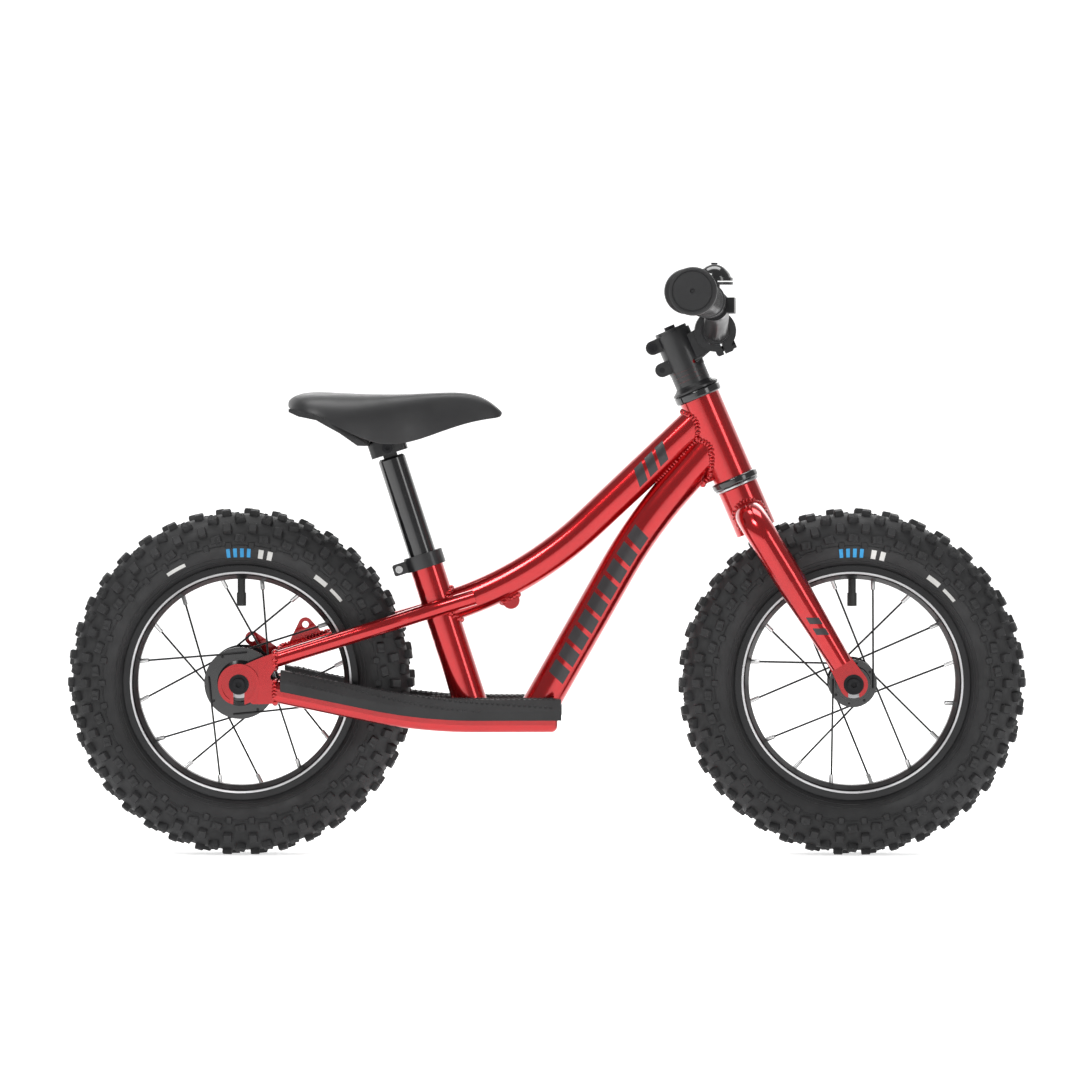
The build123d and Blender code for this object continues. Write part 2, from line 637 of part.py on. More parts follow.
LOWER_BEARING_HEIGHT = LOWER_CUP_HEIGHT - CUP_SHOULDER
BEARING_INNER_R = RACE_R + RUNNING_FIT
BEARING_SINK = 0.3
with BuildPart() as headset_bearings:
    for low, height in (
        (HEAD_HIGH + UPPER_CUP_HEIGHT - BEARING_HEIGHT, BEARING_HEIGHT - BEARING_SINK),
        (HEAD_LOW - LOWER_CUP_HEIGHT + BEARING_SINK, LOWER_BEARING_HEIGHT - BEARING_SINK),
    ):
        ring(STEER, low, height, BEARING_OD / 2, BEARING_INNER_R)
headset_bearings.part.label = "headset_bearings"
export_step(headset_bearings.part, "parts/headset_bearings.step")

# ---------------------------------------------------------------- fork
STEERER_TOP = STEM_HIGH - 3.0
CROWN_TOP = RACE_LOW
with BuildPart() as crown_envelope:
    ring(STEER, CROWN_LOW, CROWN_LENGTH, CROWN_OD / 2)

with BuildPart() as fork_crown:
    ring(STEER, CROWN_LOW, CROWN_LENGTH, CROWN_OD / 2)
    fillet(faces().filter_by(GeomType.PLANE).sort_by(Axis.Z)[-1].edges(), radius=1.0)
    ring(STEER, CROWN_LOW, STEERER_TOP - CROWN_LOW, STEERER_OD / 2)
    bore_r = STEERER_OD / 2 - STEERER_WALL
    with BuildSketch(STEER.offset(CROWN_LOW)):
        Circle(bore_r)
    extrude(amount=STEERER_TOP - CROWN_LOW, mode=Mode.SUBTRACT)
fork_crown.part.label = "fork_crown"
export_step(fork_crown.part, "parts/fork_crown.step")

with BuildPart() as crown_race:
    ring(STEER, RACE_LOW, RACE_HEIGHT - CLEARANCE / 2, CUP_OD / 2 - 1.4, STEERER_OD / 2)
    fillet(edges().filter_by(GeomType.CIRCLE).group_by(SortBy.RADIUS)[-1], radius=0.6)
    ring(STEER, RACE_LOW + RACE_HEIGHT - CLEARANCE / 2, 4.5, RACE_R, STEERER_OD / 2)
crown_race.part.label = "crown_race"
export_step(crown_race.part, "parts/crown_race.step")

with BuildPart() as headset_cover:
    cover_low = HEAD_HIGH + UPPER_CUP_HEIGHT + CLEARANCE / 2
    with BuildSketch(STEER_SIDE):
        Polygon(
            (STEERER_OD / 2, cover_low - 4),
            (RACE_R, cover_low - 4),
            (RACE_R, cover_low),
            (CUP_OD / 2 - 0.3, cover_low),
            (CUP_OD / 2 - 0.3, cover_low + 1.6),
            (CUP_OD / 2 - 4, cover_low + 4.4),
            (SPACER_OD / 2, cover_low + COVER_HEIGHT - CLEARANCE / 2),
            (STEERER_OD / 2, cover_low + COVER_HEIGHT - CLEARANCE / 2),
            align=None,
        )
    revolve(axis=Axis(STEER.origin, STEER.z_dir))
headset_cover.part.label = "headset_cover"
export_step(headset_cover.part, "parts/headset_cover.step")

with BuildPart() as headset_spacers:
    for count in range(SPACER_COUNT):
        low = HEAD_HIGH + UPPER_CUP_HEIGHT + COVER_HEIGHT + count * SPACER_HEIGHT
        with BuildSketch(STEER.offset(low)):
            Circle(SPACER_OD / 2)
            Circle(STEERER_OD / 2, mode=Mode.SUBTRACT)
        extrude(amount=SPACER_HEIGHT - 0.15)
headset_spacers.part.label = "headset_spacers"
export_step(headset_spacers.part, "parts/headset_spacers.step")

# The left leg is drawn in its own upright frame: x outwards, y up the leg from the axle.
LEG_UP = polar(90 + LEG_SLOPE)
LEG = Plane(origin=(FRONT_AXLE_X, 0, WHEEL_R), x_dir=(0, 1, 0), z_dir=(LEG_UP.Y, 0, -LEG_UP.X))
LEG_INNER = FRONT_HUB_WIDTH / 2
LEG_SPLAY = 2.0
LEG_Y = LEG_INNER + DROPOUT_THICKNESS / 2 + LEG_SPLAY
TIP_UP = 21.0
TAPER_UP = 110.0
LEG_TILT = LEG_SLOPE - (90 - HEAD_ANGLE)
ELBOW_UP = FORK_RAKE / math.sin(math.radians(LEG_TILT))
LEG_AXIS = Axis(LEG.from_local_coords(Vector(LEG_Y, 0, 0)), LEG.y_dir)


def leg_body(shrink):
    """A tapered leg that bends inwards at its top, thinner all round by shrink."""
    top_r = LEG_TOP_OD / 2 - shrink
    tip_r = LEG_TIP_OD / 2 - shrink
    elbow_low = ELBOW_UP - LEG_ELBOW_R
    with BuildPart(mode=Mode.PRIVATE) as leg:
        with BuildSketch(LEG) as taper:
            Polygon(
                (LEG_Y, TIP_UP + shrink),
                (LEG_Y + tip_r, TIP_UP + shrink),
                (LEG_Y + top_r, TAPER_UP),
                (LEG_Y + top_r, elbow_low),
                (LEG_Y, elbow_low),
                align=None,
            )
        revolve(taper.sketch, axis=LEG_AXIS)
        with BuildLine(LEG) as elbow:
            RadiusArc((LEG_Y, elbow_low), (LEG_Y - LEG_ELBOW_R, ELBOW_UP), -LEG_ELBOW_R)
            Line((LEG_Y - LEG_ELBOW_R, ELBOW_UP), (CROWN_OD / 4, ELBOW_UP))
        with BuildSketch(Plane(origin=elbow.line @ 0, z_dir=elbow.line % 0)) as round_top:
            Circle(top_r)
        sweep(round_top.sketch, path=elbow.line)
    return leg.part


FORK_TAB_R = 13.0
with BuildPart() as fork_leg:
    add(leg_body(0))
    add(leg_body(TUBE_WALL), mode=Mode.SUBTRACT)
    add(crown_envelope.part, mode=Mode.SUBTRACT)
    leg_side = Plane(origin=LEG.origin + Vector(0, LEG_INNER, 0), x_dir=LEG.y_dir, z_dir=(0, 1, 0))
    with BuildSketch(leg_side):
        Circle(FORK_TAB_R)
        with Locations((TIP_UP + 4, 0)):
            Rectangle(10, LEG_TIP_OD)
        make_hull()
    extrude(amount=DROPOUT_THICKNESS)
    with BuildSketch(Plane(origin=leg_side.origin, x_dir=(-1, 0, 0), z_dir=(0, 1, 0))):
        Circle(SLOT_WIDTH / 2)
        with Locations((0, -FORK_TAB_R)):
            Rectangle(SLOT_WIDTH, 2 * FORK_TAB_R)
    extrude(amount=DROPOUT_THICKNESS, mode=Mode.SUBTRACT)
write_pair("fork_leg", fork_leg.part)

# ---------------------------------------------------------------- stem
STEM_MID = STEM_LOW + STEM_BAR_RISE
BAR_CENTRE = on_steer(STEM_REACH, STEM_MID)
LUG_BACK = 21.5
LUG_R = 6.4
LUG_LOW_UP = 8.4
LUG_HIGH_UP = 30.5
STEM_LUG_WIDTH = 20.0
STEM_SLIT = 2.2
NECK_WIDTH = 24.0
FACE_GAP = 0.8
FACE_BOLT_Y = 13.0
FACE_LUG_R = 5.2
STEM_SIDE = Plane(origin=STEER.from_local_coords(Vector(0, 0, STEM_LOW)), x_dir=STEER.x_dir, z_dir=(0, -1, 0))
NECK = [(6, 1.5), (19, 5), (31, 9), (36, 20), (22, 31), (6, 29)]
FACE_BOLT_UPS = (STEM_BAR_RISE - FACE_BOLT_OFFSET, STEM_BAR_RISE + FACE_BOLT_OFFSET)

with BuildPart() as stem:
    ring(STEER, STEM_LOW, STEM_CLAMP_HEIGHT, STEM_CLAMP_OD / 2)
    with BuildSketch(STEM_SIDE):
        with Locations((-LUG_BACK, LUG_LOW_UP)):
            Circle(LUG_R)
        with Locations((-STEM_CLAMP_OD / 4, LUG_LOW_UP)):
            Rectangle(1, 2 * LUG_R)
        make_hull()
    extrude(amount=STEM_LUG_WIDTH / 2, both=True)
    with BuildSketch(STEM_SIDE):
        with Locations((-LUG_BACK, LUG_HIGH_UP)):
            Circle(LUG_R)
        with Locations((-STEM_CLAMP_OD / 4, LUG_HIGH_UP)):
            Rectangle(1, 2 * LUG_R)
        make_hull()
    extrude(amount=STEM_LUG_WIDTH / 2, both=True)
    with BuildSketch(STEM_SIDE):
        Polygon(*NECK, align=None)
    extrude(amount=NECK_WIDTH / 2, both=True)
    with BuildSketch(STEM_SIDE):
        with Locations((STEM_REACH, STEM_BAR_RISE)):
            Circle(STEM_RING_R)
    extrude(amount=BAR_CLAMP_WIDTH / 2, both=True)
    with BuildSketch(STEM_SIDE):
        with Locations(*[(STEM_REACH - 3, up) for up in FACE_BOLT_UPS]):
            RectangleRounded(8, 2 * FACE_LUG_R, 2)
    extrude(amount=BAR_CLAMP_WIDTH / 2, both=True)
    with BuildSketch(STEM_SIDE):
        with Locations((STEM_REACH + STEM_RING_R - FACE_GAP, STEM_BAR_RISE)):
            Rectangle(2 * STEM_RING_R, 4 * STEM_RING_R)
        with Locations((STEM_REACH, STEM_BAR_RISE)):
            Circle(BAR_CLAMP_OD / 2 + SLIDE_FIT)
    extrude(amount=BAR_CLAMP_WIDTH, both=True, mode=Mode.SUBTRACT)
    with BuildSketch(STEER.offset(STEM_LOW)):
        Circle(STEERER_OD / 2)
    extrude(amount=STEM_CLAMP_HEIGHT, mode=Mode.SUBTRACT)
    with BuildSketch(STEM_SIDE):
        with Locations((-LUG_BACK, STEM_CLAMP_HEIGHT / 2)):
            Rectangle(2 * LUG_BACK, 2 * STEM_CLAMP_HEIGHT)
    extrude(amount=STEM_SLIT / 2, both=True, mode=Mode.SUBTRACT)
    for up in (LUG_LOW_UP, LUG_HIGH_UP):
        cross_rod(-LUG_BACK, up, STEM_LUG_WIDTH, M5_R, Mode.SUBTRACT, STEM_SIDE)
    with BuildSketch(Plane(origin=STEM_SIDE.origin, x_dir=(0, 1, 0), z_dir=STEER.x_dir)):
        with GridLocations(2 * FACE_BOLT_Y, 2 * FACE_BOLT_OFFSET, 2, 2):
            with Locations((0, STEM_BAR_RISE)):
                Circle(M5_R)
    extrude(amount=2 * STEM_REACH, mode=Mode.SUBTRACT)
stem.part.label = "stem"
export_step(stem.part, "parts/stem.step")

FACE_FRONT = 9.0
FACE_HEAD_R = 3.9
with BuildPart() as stem_faceplate:
    with BuildSketch(STEM_SIDE):
        with Locations((STEM_REACH, STEM_BAR_RISE)):
            Circle(STEM_RING_R)
        with Locations(*[(STEM_REACH, up) for up in FACE_BOLT_UPS]):
            RectangleRounded(2 * FACE_FRONT, 2 * FACE_LUG_R, 2)
        with Locations((STEM_REACH - STEM_RING_R + FACE_GAP, STEM_BAR_RISE)):
            Rectangle(2 * STEM_RING_R, 4 * STEM_RING_R, mode=Mode.SUBTRACT)
        with Locations((STEM_REACH, STEM_BAR_RISE)):
            Circle(BAR_CLAMP_OD / 2 + SLIDE_FIT, mode=Mode.SUBTRACT)
    extrude(amount=BAR_CLAMP_WIDTH / 2, both=True)
    with BuildSketch(Plane(origin=STEM_SIDE.origin, x_dir=(0, 1, 0), z_dir=STEER.x_dir)):
        with GridLocations(2 * FACE_BOLT_Y, 2 * FACE_BOLT_OFFSET, 2, 2):
            with Locations((0, STEM_BAR_RISE)):
                Circle(M5_R)
    extrude(amount=2 * STEM_REACH, mode=Mode.SUBTRACT)
    face_seat = STEM_SIDE.from_local_coords(Vector(STEM_REACH + FACE_FRONT, 0, 0))
    with BuildSketch(Plane(origin=face_seat, x_dir=(0, 1, 0), z_dir=STEER.x_dir)):
        with GridLocations(2 * FACE_BOLT_Y, 2 * FACE_BOLT_OFFSET, 2, 2):
            with Locations((0, STEM_BAR_RISE)):
                Circle(FACE_HEAD_R + 0.3)
    extrude(amount=STEM_RING_R, mode=Mode.SUBTRACT)
stem_faceplate.part.label = "stem_faceplate"
export_step(stem_faceplate.part, "parts/stem_faceplate.step")

FACE_BOLT_SHANK = 15.0
FACE_HEAD = 3.4
M5_SOCKET_R = 2.1
with BuildPart() as stem_bolts:
    for up in FACE_BOLT_UPS:
        for y in (-FACE_BOLT_Y, FACE_BOLT_Y):
            seat = STEM_SIDE.from_local_coords(Vector(STEM_REACH + FACE_FRONT, up, y))
            back = -Vector(STEER.x_dir.X, STEER.x_dir.Y, STEER.x_dir.Z)
            add(cap_bolt(seat, back, M5_R, FACE_BOLT_SHANK, FACE_HEAD_R, FACE_HEAD, M5_SOCKET_R))
    for up, y in ((LUG_LOW_UP, 1), (LUG_HIGH_UP, -1)):
        seat = STEM_SIDE.from_local_coords(Vector(-LUG_BACK, up, -y * STEM_LUG_WIDTH / 2))
        add(cap_bolt(seat, (0, -y, 0), M5_R, STEM_LUG_WIDTH, M5_HEAD_R, M5_HEAD / 2, M5_SOCKET_R))
stem_bolts.part.label = "stem_bolts"
export_step(stem_bolts.part, "parts/stem_bolts.step")

CAP_BOLT_R = 3.0
CAP_BOLT_LENGTH = 26.0
CAP_BOLT_HEAD_R = 5.0
CAP_BOLT_HEAD = 3.0
STAR_NUT_HEIGHT = 10.0
STAR_CORE_R = 5.0
with BuildPart() as top_cap:
    ring(STEER, STEM_HIGH, TOP_CAP_HEIGHT, TOP_CAP_OD / 2, CAP_BOLT_R)
    fillet(edges().filter_by(GeomType.CIRCLE).sort_by(Axis.Z)[-2:], radius=0.6)
top_cap.part.label = "top_cap"
export_step(top_cap.part, "parts/top_cap.step")

cap_top = STEER.from_local_coords(Vector(0, 0, STEM_HIGH + TOP_CAP_HEIGHT))
with BuildPart() as top_cap_bolt:
    add(
        cap_bolt(
            cap_top, -STEER.z_dir, CAP_BOLT_R, CAP_BOLT_LENGTH, CAP_BOLT_HEAD_R, CAP_BOLT_HEAD, M5_SOCKET_R
        )
    )
    star_low = STEM_HIGH + TOP_CAP_HEIGHT - CAP_BOLT_LENGTH
    ring(STEER, star_low, STAR_NUT_HEIGHT, STAR_CORE_R, CAP_BOLT_R)
    for layer in (0.2, 0.7):
        ring(STEER, star_low + layer * STAR_NUT_HEIGHT, 1.0, STEERER_OD / 2 - STEERER_WALL, STAR_CORE_R)
top_cap_bolt.part.label = "top_cap_bolt"
export_step(top_cap_bolt.part, "parts/top_cap_bolt.step")

# ---------------------------------------------------------------- handlebar
# The bar is drawn from its middle to its left end, and mirrored.
BAR_WALL = 2.2
BAR_BEND_SHARE = 0.42
GRIP_RUN = Vector(
    -math.tan(math.radians(BAR_BACKSWEEP)), 1, math.tan(math.radians(BAR_UPSWEEP))
)


def on_grip(y):
    """The point of the bar's outer run at a distance y from the centre plane."""
    rise = Vector(BAR_CENTRE.X + 1.0, BAR_RISE_Y, BAR_CENTRE.Y + BAR_RISE)
    return rise + GRIP_RUN * (y - BAR_RISE_Y)


BAR_END = on_grip(BAR_WIDTH / 2 - 3.0)
BAR_POINTS = [
    Vector(BAR_CENTRE.X, 0, BAR_CENTRE.Y),
    Vector(BAR_CENTRE.X, BAR_CENTRE_Y, BAR_CENTRE.Y),
    on_grip(BAR_RISE_Y),
    BAR_END,
]
with BuildPart() as bar_half:
    round_tube(BAR_POINTS, BAR_BEND_SHARE, BAR_OD / 2, 0, Plane.XY)
    with BuildSketch(Plane(origin=BAR_POINTS[0], x_dir=(1, 0, 0), z_dir=(0, 0, 1))) as swell:
        Polygon(
            (0, 0),
            (BAR_CLAMP_OD / 2, 0),
            (BAR_CLAMP_OD / 2, BAR_CLAMP_WIDTH / 2 + 2),
            (BAR_OD / 2, BAR_CLAMP_WIDTH / 2 + 9),
            (0, BAR_CLAMP_WIDTH / 2 + 9),
            align=None,
        )
    revolve(swell.sketch, axis=Axis(BAR_POINTS[0], (0, 1, 0)))
with BuildPart() as bar_bore:
    round_tube(BAR_POINTS, BAR_BEND_SHARE, BAR_OD / 2 - BAR_WALL, 0, Plane.XY)
with BuildPart() as handlebar:
    add(bar_half.part)
    add(bar_bore.part, mode=Mode.SUBTRACT)
    mirror(about=Plane.XZ)
handlebar.part.label = "handlebar"
export_step(handlebar.part, "parts/handlebar.step")

GRIP_START = BAR_WIDTH / 2 - GRIP_LENGTH
GRIP_AXIS = Plane(origin=on_grip(GRIP_START), z_dir=GRIP_RUN)
GRIP_SPAN = (BAR_WIDTH / 2 - GRIP_START) * GRIP_RUN.length - 2.2
BAR_IN_GRIP = (BAR_END - on_grip(GRIP_START)).length
with BuildPart() as grip:
    ring(GRIP_AXIS, 0, GRIP_SPAN, GRIP_R)
    ring(GRIP_AXIS, 0, 4.0, GRIP_R + 1.5)
    ring(GRIP_AXIS, GRIP_SPAN - GRIP_FLANGE, GRIP_FLANGE, GRIP_FLANGE_R)
    fillet(edges().filter_by(GeomType.CIRCLE).group_by(SortBy.RADIUS)[-1], radius=2.0)
    with BuildSketch(GRIP_AXIS):
        Circle(BAR_OD / 2)
    extrude(amount=BAR_IN_GRIP, mode=Mode.SUBTRACT)
write_pair("grip", grip.part)

# ---------------------------------------------------------------- bell
BELL_AT = on_grip(BELL_Y)
BELL = Plane(origin=(BELL_AT.X, -BELL_Y, BELL_AT.Z), x_dir=(1, 0, 0), z_dir=(0, 0, 1))
BELL_CLAMP_R = 14.0
BELL_CLAMP_WIDTH = 10.0
BELL_EAR_REACH = 19.0
BELL_POST_R = 3.0
BELL_PLATE = 2.6
PLATE_LOW = BELL_BASE_LIFT
DOME_LOW = BELL_BASE_LIFT + BELL_PLATE + 1.0
DOME_HIGH = DOME_LOW + BELL_HEIGHT
BELL_RIVET = 0.8
LEVER_PIN_R = 1.5
bar_here = Plane(origin=BELL.origin, x_dir=(1, 0, 0), z_dir=(GRIP_RUN.X, -1, GRIP_RUN.Z))
with BuildPart() as bell_base:
    with BuildSketch(bar_here):
        Circle(BELL_CLAMP_R)
        with Locations((BELL_EAR_REACH / 2, 0)):
            Rectangle(BELL_EAR_REACH, 14)
        Circle(BAR_OD / 2, mode=Mode.SUBTRACT)
    extrude(amount=BELL_CLAMP_WIDTH / 2, both=True)
    ring(BELL, BELL_CLAMP_R - 1.5, PLATE_LOW - BELL_CLAMP_R + 1.5, BELL_CLAMP_WIDTH / 2)
    with BuildSketch(BELL.offset(PLATE_LOW)):
        Circle(BELL_BASE_R)
        with Locations((-LEVER_PIVOT_BACK, 0)):
            Circle(3.5)
        with Locations((-LEVER_PIVOT_BACK / 2, 0)):
            Rectangle(LEVER_PIVOT_BACK, 7)
    extrude(amount=BELL_PLATE)
    ring(BELL, PLATE_LOW, DOME_HIGH + BELL_RIVET - PLATE_LOW, BELL_POST_R)
    with BuildSketch(BELL.offset(PLATE_LOW)):
        with Locations((-LEVER_PIVOT_BACK, 0)):
            Circle(LEVER_PIN_R)
    extrude(amount=BELL_PLATE + 6)
    with BuildSketch(bar_here):
        Circle(BAR_OD / 2)
    extrude(amount=BELL_CLAMP_WIDTH, both=True, mode=Mode.SUBTRACT)
bell_base.part.label = "bell_base"
export_step(bell_base.part, "parts/bell_base.step")

with BuildPart() as bell_dome:
    dome_side = Plane(origin=BELL.origin + Vector(0, 0, DOME_LOW), x_dir=(1, 0, 0), z_dir=(0, -1, 0))
    with BuildSketch(dome_side):
        Ellipse(BELL_R, BELL_HEIGHT)
        Ellipse(BELL_R - BELL_WALL, BELL_HEIGHT - BELL_WALL, mode=Mode.SUBTRACT)
        with Locations((BELL_POST_R, 0)):
            Rectangle(BELL_R, BELL_HEIGHT, align=Align.MIN, mode=Mode.INTERSECT)
        with Locations((BELL_R - BELL_WALL, 0)):
            Rectangle(BELL_BASE_R - BELL_R + BELL_WALL, BELL_RIM, align=Align.MIN)
    revolve(axis=Axis(BELL.origin, (0, 0, 1)))
bell_dome.part.label = "bell_dome"
export_step(bell_dome.part, "parts/bell_dome.step")

LEVER_LOW = PLATE_LOW + BELL_PLATE + 0.3
LEVER_HEIGHT = 4.5
with BuildPart() as bell_lever:
    with BuildSketch(BELL.offset(LEVER_LOW)):
        with Locations((-LEVER_PIVOT_BACK, 0)):
            Circle(3.4)
        with Locations((-LEVER_PIVOT_BACK - LEVER_LENGTH / 2, 0)):
            RectangleRounded(LEVER_LENGTH, 5.0, 1.5)
        with Locations((-LEVER_PIVOT_BACK - LEVER_LENGTH + 1, 0)):
            RectangleRounded(4.0, 12.0, 1.5)
        with Locations((-LEVER_PIVOT_BACK, 0)):
            Circle(LEVER_PIN_R + RUNNING_FIT, mode=Mode.SUBTRACT)
    extrude(amount=LEVER_HEIGHT)
bell_lever.part.label = "bell_lever"
export_step(bell_lever.part, "parts/bell_lever.step")

# ---------------------------------------------------------------- seat post
POST_WALL = 2.4
POST_CHAMFER = 2.0
with BuildPart() as seat_post:
    ring(SEAT, SEAT_TUBE_LENGTH - POST_INSERT, POST_TOP - SEAT_TUBE_LENGTH + POST_INSERT, POST_OD / 2)
    chamfer(faces().sort_by(Axis.Z)[-1].edges(), length=POST_CHAMFER)
    with BuildSketch(SEAT.offset(SEAT_TUBE_LENGTH - POST_INSERT)):
        Circle(POST_OD / 2 - POST_WALL)
    extrude(amount=POST_TOP - SEAT_TUBE_LENGTH + POST_INSERT - 6, mode=Mode.SUBTRACT)
    with BuildSketch(SEAT_SIDE):
        with Locations((0, CLAMP_PIN_UP)):
            Circle(TONGUE_R)
        with Locations((0, (POST_TOP + CLAMP_PIN_UP) / 2 - 1)):
            Rectangle(2 * TONGUE_R, CLAMP_PIN_UP - POST_TOP + 2)
        with Locations((0, CLAMP_PIN_UP)):
            Circle(CLAMP_PIN_R + RUNNING_FIT, mode=Mode.SUBTRACT)
    extrude(amount=TONGUE_WIDTH / 2, both=True)
seat_post.part.label = "seat_post"
export_step(seat_post.part, "parts/seat_post.step")

CLAMP_CEILING = 14.5
with BuildPart() as saddle_clamp:
    with BuildSketch(SEAT.offset(CLAMP_LOW)):
        RectangleRounded(CLAMP_LENGTH, CLAMP_WIDTH, 5)
    extrude(amount=CLAMP_CEILING)
    fillet(edges().filter_by(GeomType.CIRCLE).group_by(Axis.Z)[-1], radius=0.5)
    with BuildSketch(SEAT_SIDE):
        with Locations((0, CLAMP_PIN_UP - 5)):
            Rectangle(2 * CLAMP_LENGTH, 2 * TONGUE_R + 10 + 2 * CLEARANCE)
    extrude(amount=TONGUE_WIDTH / 2 + RUNNING_FIT, both=True, mode=Mode.SUBTRACT)
    cross_rod(0, CLAMP_PIN_UP, CLAMP_WIDTH, CLAMP_PIN_R, Mode.SUBTRACT, SEAT_SIDE)
saddle_clamp.part.label = "saddle_clamp"
export_step(saddle_clamp.part, "parts/saddle_clamp.step")

clamp_pin_at = SEAT_SIDE.from_local_coords(Vector(0, CLAMP_PIN_UP, CLAMP_WIDTH / 2))
with BuildPart() as saddle_clamp_bolt:
    add(cap_bolt(clamp_pin_at, (0, 1, 0), CLAMP_PIN_R, CLAMP_WIDTH + 3, 5.0, 3.5, 2.5))
saddle_clamp_bolt.part.label = "saddle_clamp_bolt"
export_step(saddle_clamp_bolt.part, "parts/saddle_clamp_bolt.step")

# ---------------------------------------------------------------- saddle
# Outlines of the saddle, from a point just under the clamp's pin: x ahead and z up.
SADDLE_SINK = 5.0
SADDLE_AT = SEAT.from_local_coords(Vector(0, 0, CLAMP_PIN_UP - SADDLE_SINK))
SADDLE_SIDE = Plane(origin=(SADDLE_AT.X, 0, SADDLE_AT.Z), x_dir=(1, 0, 0), z_dir=(0, -1, 0))
SADDLE_TAIL_X = -93.5
SADDLE_TAIL_Y = 42.0
SADDLE_REAR_X = -60.0
SADDLE_HALF_WIDTH = 67.5
SADDLE_WAIST_X = 24.0
SADDLE_WAIST_Y = 22.0
SADDLE_NOSE_X = 103.5
SADDLE_NOSE_Y = 16.5
SADDLE_PLAN_ROUND = 15.5
SKIRT = 6.0
SEAM = [(-91, 40.6), (-72, 38.5), (-51, 30), (-36.6, 20.3), (-17, 6.9)]
PAD_TOP_LINE = [(99, 31), (103.5, 35), (97, 43), (76, 54), (62, 56.5), (-16, 54.4), (-74, 54.6), (-93, 45)]
PAD_UNDER_LINE = [(-2, 6.2), (10, 9), (21, 15.3), (41, 23.7), (64, 29.3)]
SHELL_UNDER_LINE = [(-28, 7.3), (-44, 18.9), (-65, 30.8), (-82, 34), (-91, 38)]
PLATE_TOP_LINE = [(-28, 27), (60, 36), (90, 36)]
PLATE = 3.0


def saddle_plan(inset):
    """The saddle's outline from above, smaller all round by inset."""
    half = [(SADDLE_TAIL_X, SADDLE_TAIL_Y), (SADDLE_REAR_X, SADDLE_HALF_WIDTH), (SADDLE_WAIST_X, SADDLE_WAIST_Y)]
    half.append((SADDLE_NOSE_X, SADDLE_NOSE_Y))
    outline = half + [(x, -y) for x, y in reversed(half)]
    with BuildSketch(Plane(origin=(SADDLE_AT.X, 0, SADDLE_AT.Z), x_dir=(1, 0, 0), z_dir=(0, 0, 1))) as plan:
        Polygon(*outline, align=None)
        fillet(plan.vertices(), radius=SADDLE_PLAN_ROUND)
        if inset:
            offset(amount=-inset)
    return plan.sketch


def saddle_column(inset):
    with BuildPart(mode=Mode.PRIVATE) as column:
        extrude(saddle_plan(inset), amount=2 * SADDLE_HALF_WIDTH, both=True)
    return column.part


with BuildPart() as saddle_cavity:
    with BuildSketch(SADDLE_SIDE):
        Polygon(SEAM[-2], *PLATE_TOP_LINE, (PLATE_TOP_LINE[-1][0], 0), (SEAM[-2][0], 0), align=None)
    extrude(amount=SADDLE_HALF_WIDTH, both=True)
    add(saddle_column(SKIRT), mode=Mode.INTERSECT)

with BuildPart() as saddle_pad:
    with BuildSketch(SADDLE_SIDE):
        Polygon(*SEAM, *PAD_UNDER_LINE, *PAD_TOP_LINE, align=None)
    extrude(amount=SADDLE_HALF_WIDTH, both=True)
    add(saddle_column(0), mode=Mode.INTERSECT)
    add(saddle_cavity.part, mode=Mode.SUBTRACT)
saddle_pad.part.label = "saddle_pad"
export_step(saddle_pad.part, "parts/saddle_pad.step")

SHELL_BOSS_R = 14.0
SHELL_POCKET_GAP = 1.5
with BuildPart() as saddle_plate:
    with BuildSketch(SADDLE_SIDE):
        lower_line = [(x, z - PLATE) for x, z in reversed(PLATE_TOP_LINE)]
        Polygon(SEAM[-2], *PLATE_TOP_LINE, *lower_line, SEAM[-1], align=None)
    extrude(amount=SADDLE_HALF_WIDTH, both=True)
    add(saddle_column(SKIRT), mode=Mode.INTERSECT)

with BuildPart() as saddle_shell:
    with BuildSketch(SADDLE_SIDE):
        Polygon(*SEAM, *SHELL_UNDER_LINE, align=None)
    extrude(amount=SADDLE_HALF_WIDTH, both=True)
    add(saddle_column(0), mode=Mode.INTERSECT)
    add(saddle_plate.part)
    with BuildSketch(SEAT.offset(CLAMP_LOW + CLAMP_CEILING)):
        Rectangle(CLAMP_LENGTH + 2 * SHELL_POCKET_GAP, CLAMP_WIDTH + 2 * SHELL_POCKET_GAP)
    extrude(amount=-2 * CLAMP_HEIGHT, mode=Mode.SUBTRACT)
    with BuildSketch(SEAT.offset(CLAMP_LOW + CLAMP_CEILING)):
        Circle(SHELL_BOSS_R)
    extrude(until=Until.NEXT)
saddle_shell.part.label = "saddle_shell"
export_step(saddle_shell.part, "parts/saddle_shell.step")

# ---------------------------------------------------------------- wheels
RIM_WALL = 1.6
RIM_BED = 2.4
RIM_BED_HALF = 6.0
RIM_FLAT_HALF = 7.0
RIM_SHOULDER = 3.8
RIM_SEAT_WIDTH = 6.0
CARCASS = 3.8
BEAD_WIDTH = 3.0
FLANK_SHARE = 0.885
INNER_TUBE_WALL = 1.5
INNER_TUBE_GAP = 0.9
NIPPLE_HEAD_R = 2.9
NIPPLE_HEAD = 2.0
NIPPLE_LIFT = 1.6
NIPPLE_Y = 3.0
NIPPLE_STAGGER = 1.0
THREAD_LENGTH = 6.0
ROD_GAP = 0.1
SPOKE_HEAD_R = 1.3
SPOKE_HEAD = 1.0
MID_TYRE_R = WHEEL_R - TYRE_WIDTH / 2
SPOKE_SHIFT = FLANGE_THICKNESS / 2 + SPOKE_R + ROD_GAP
FRONT_FLANGE_R = 22.0
FRONT_PITCH_R = 18.7
REAR_FLANGE_R = 32.9
REAR_PITCH_R = 29.0
REAR_HUB_R = 20.0
HUB_END_GAP = 4.5
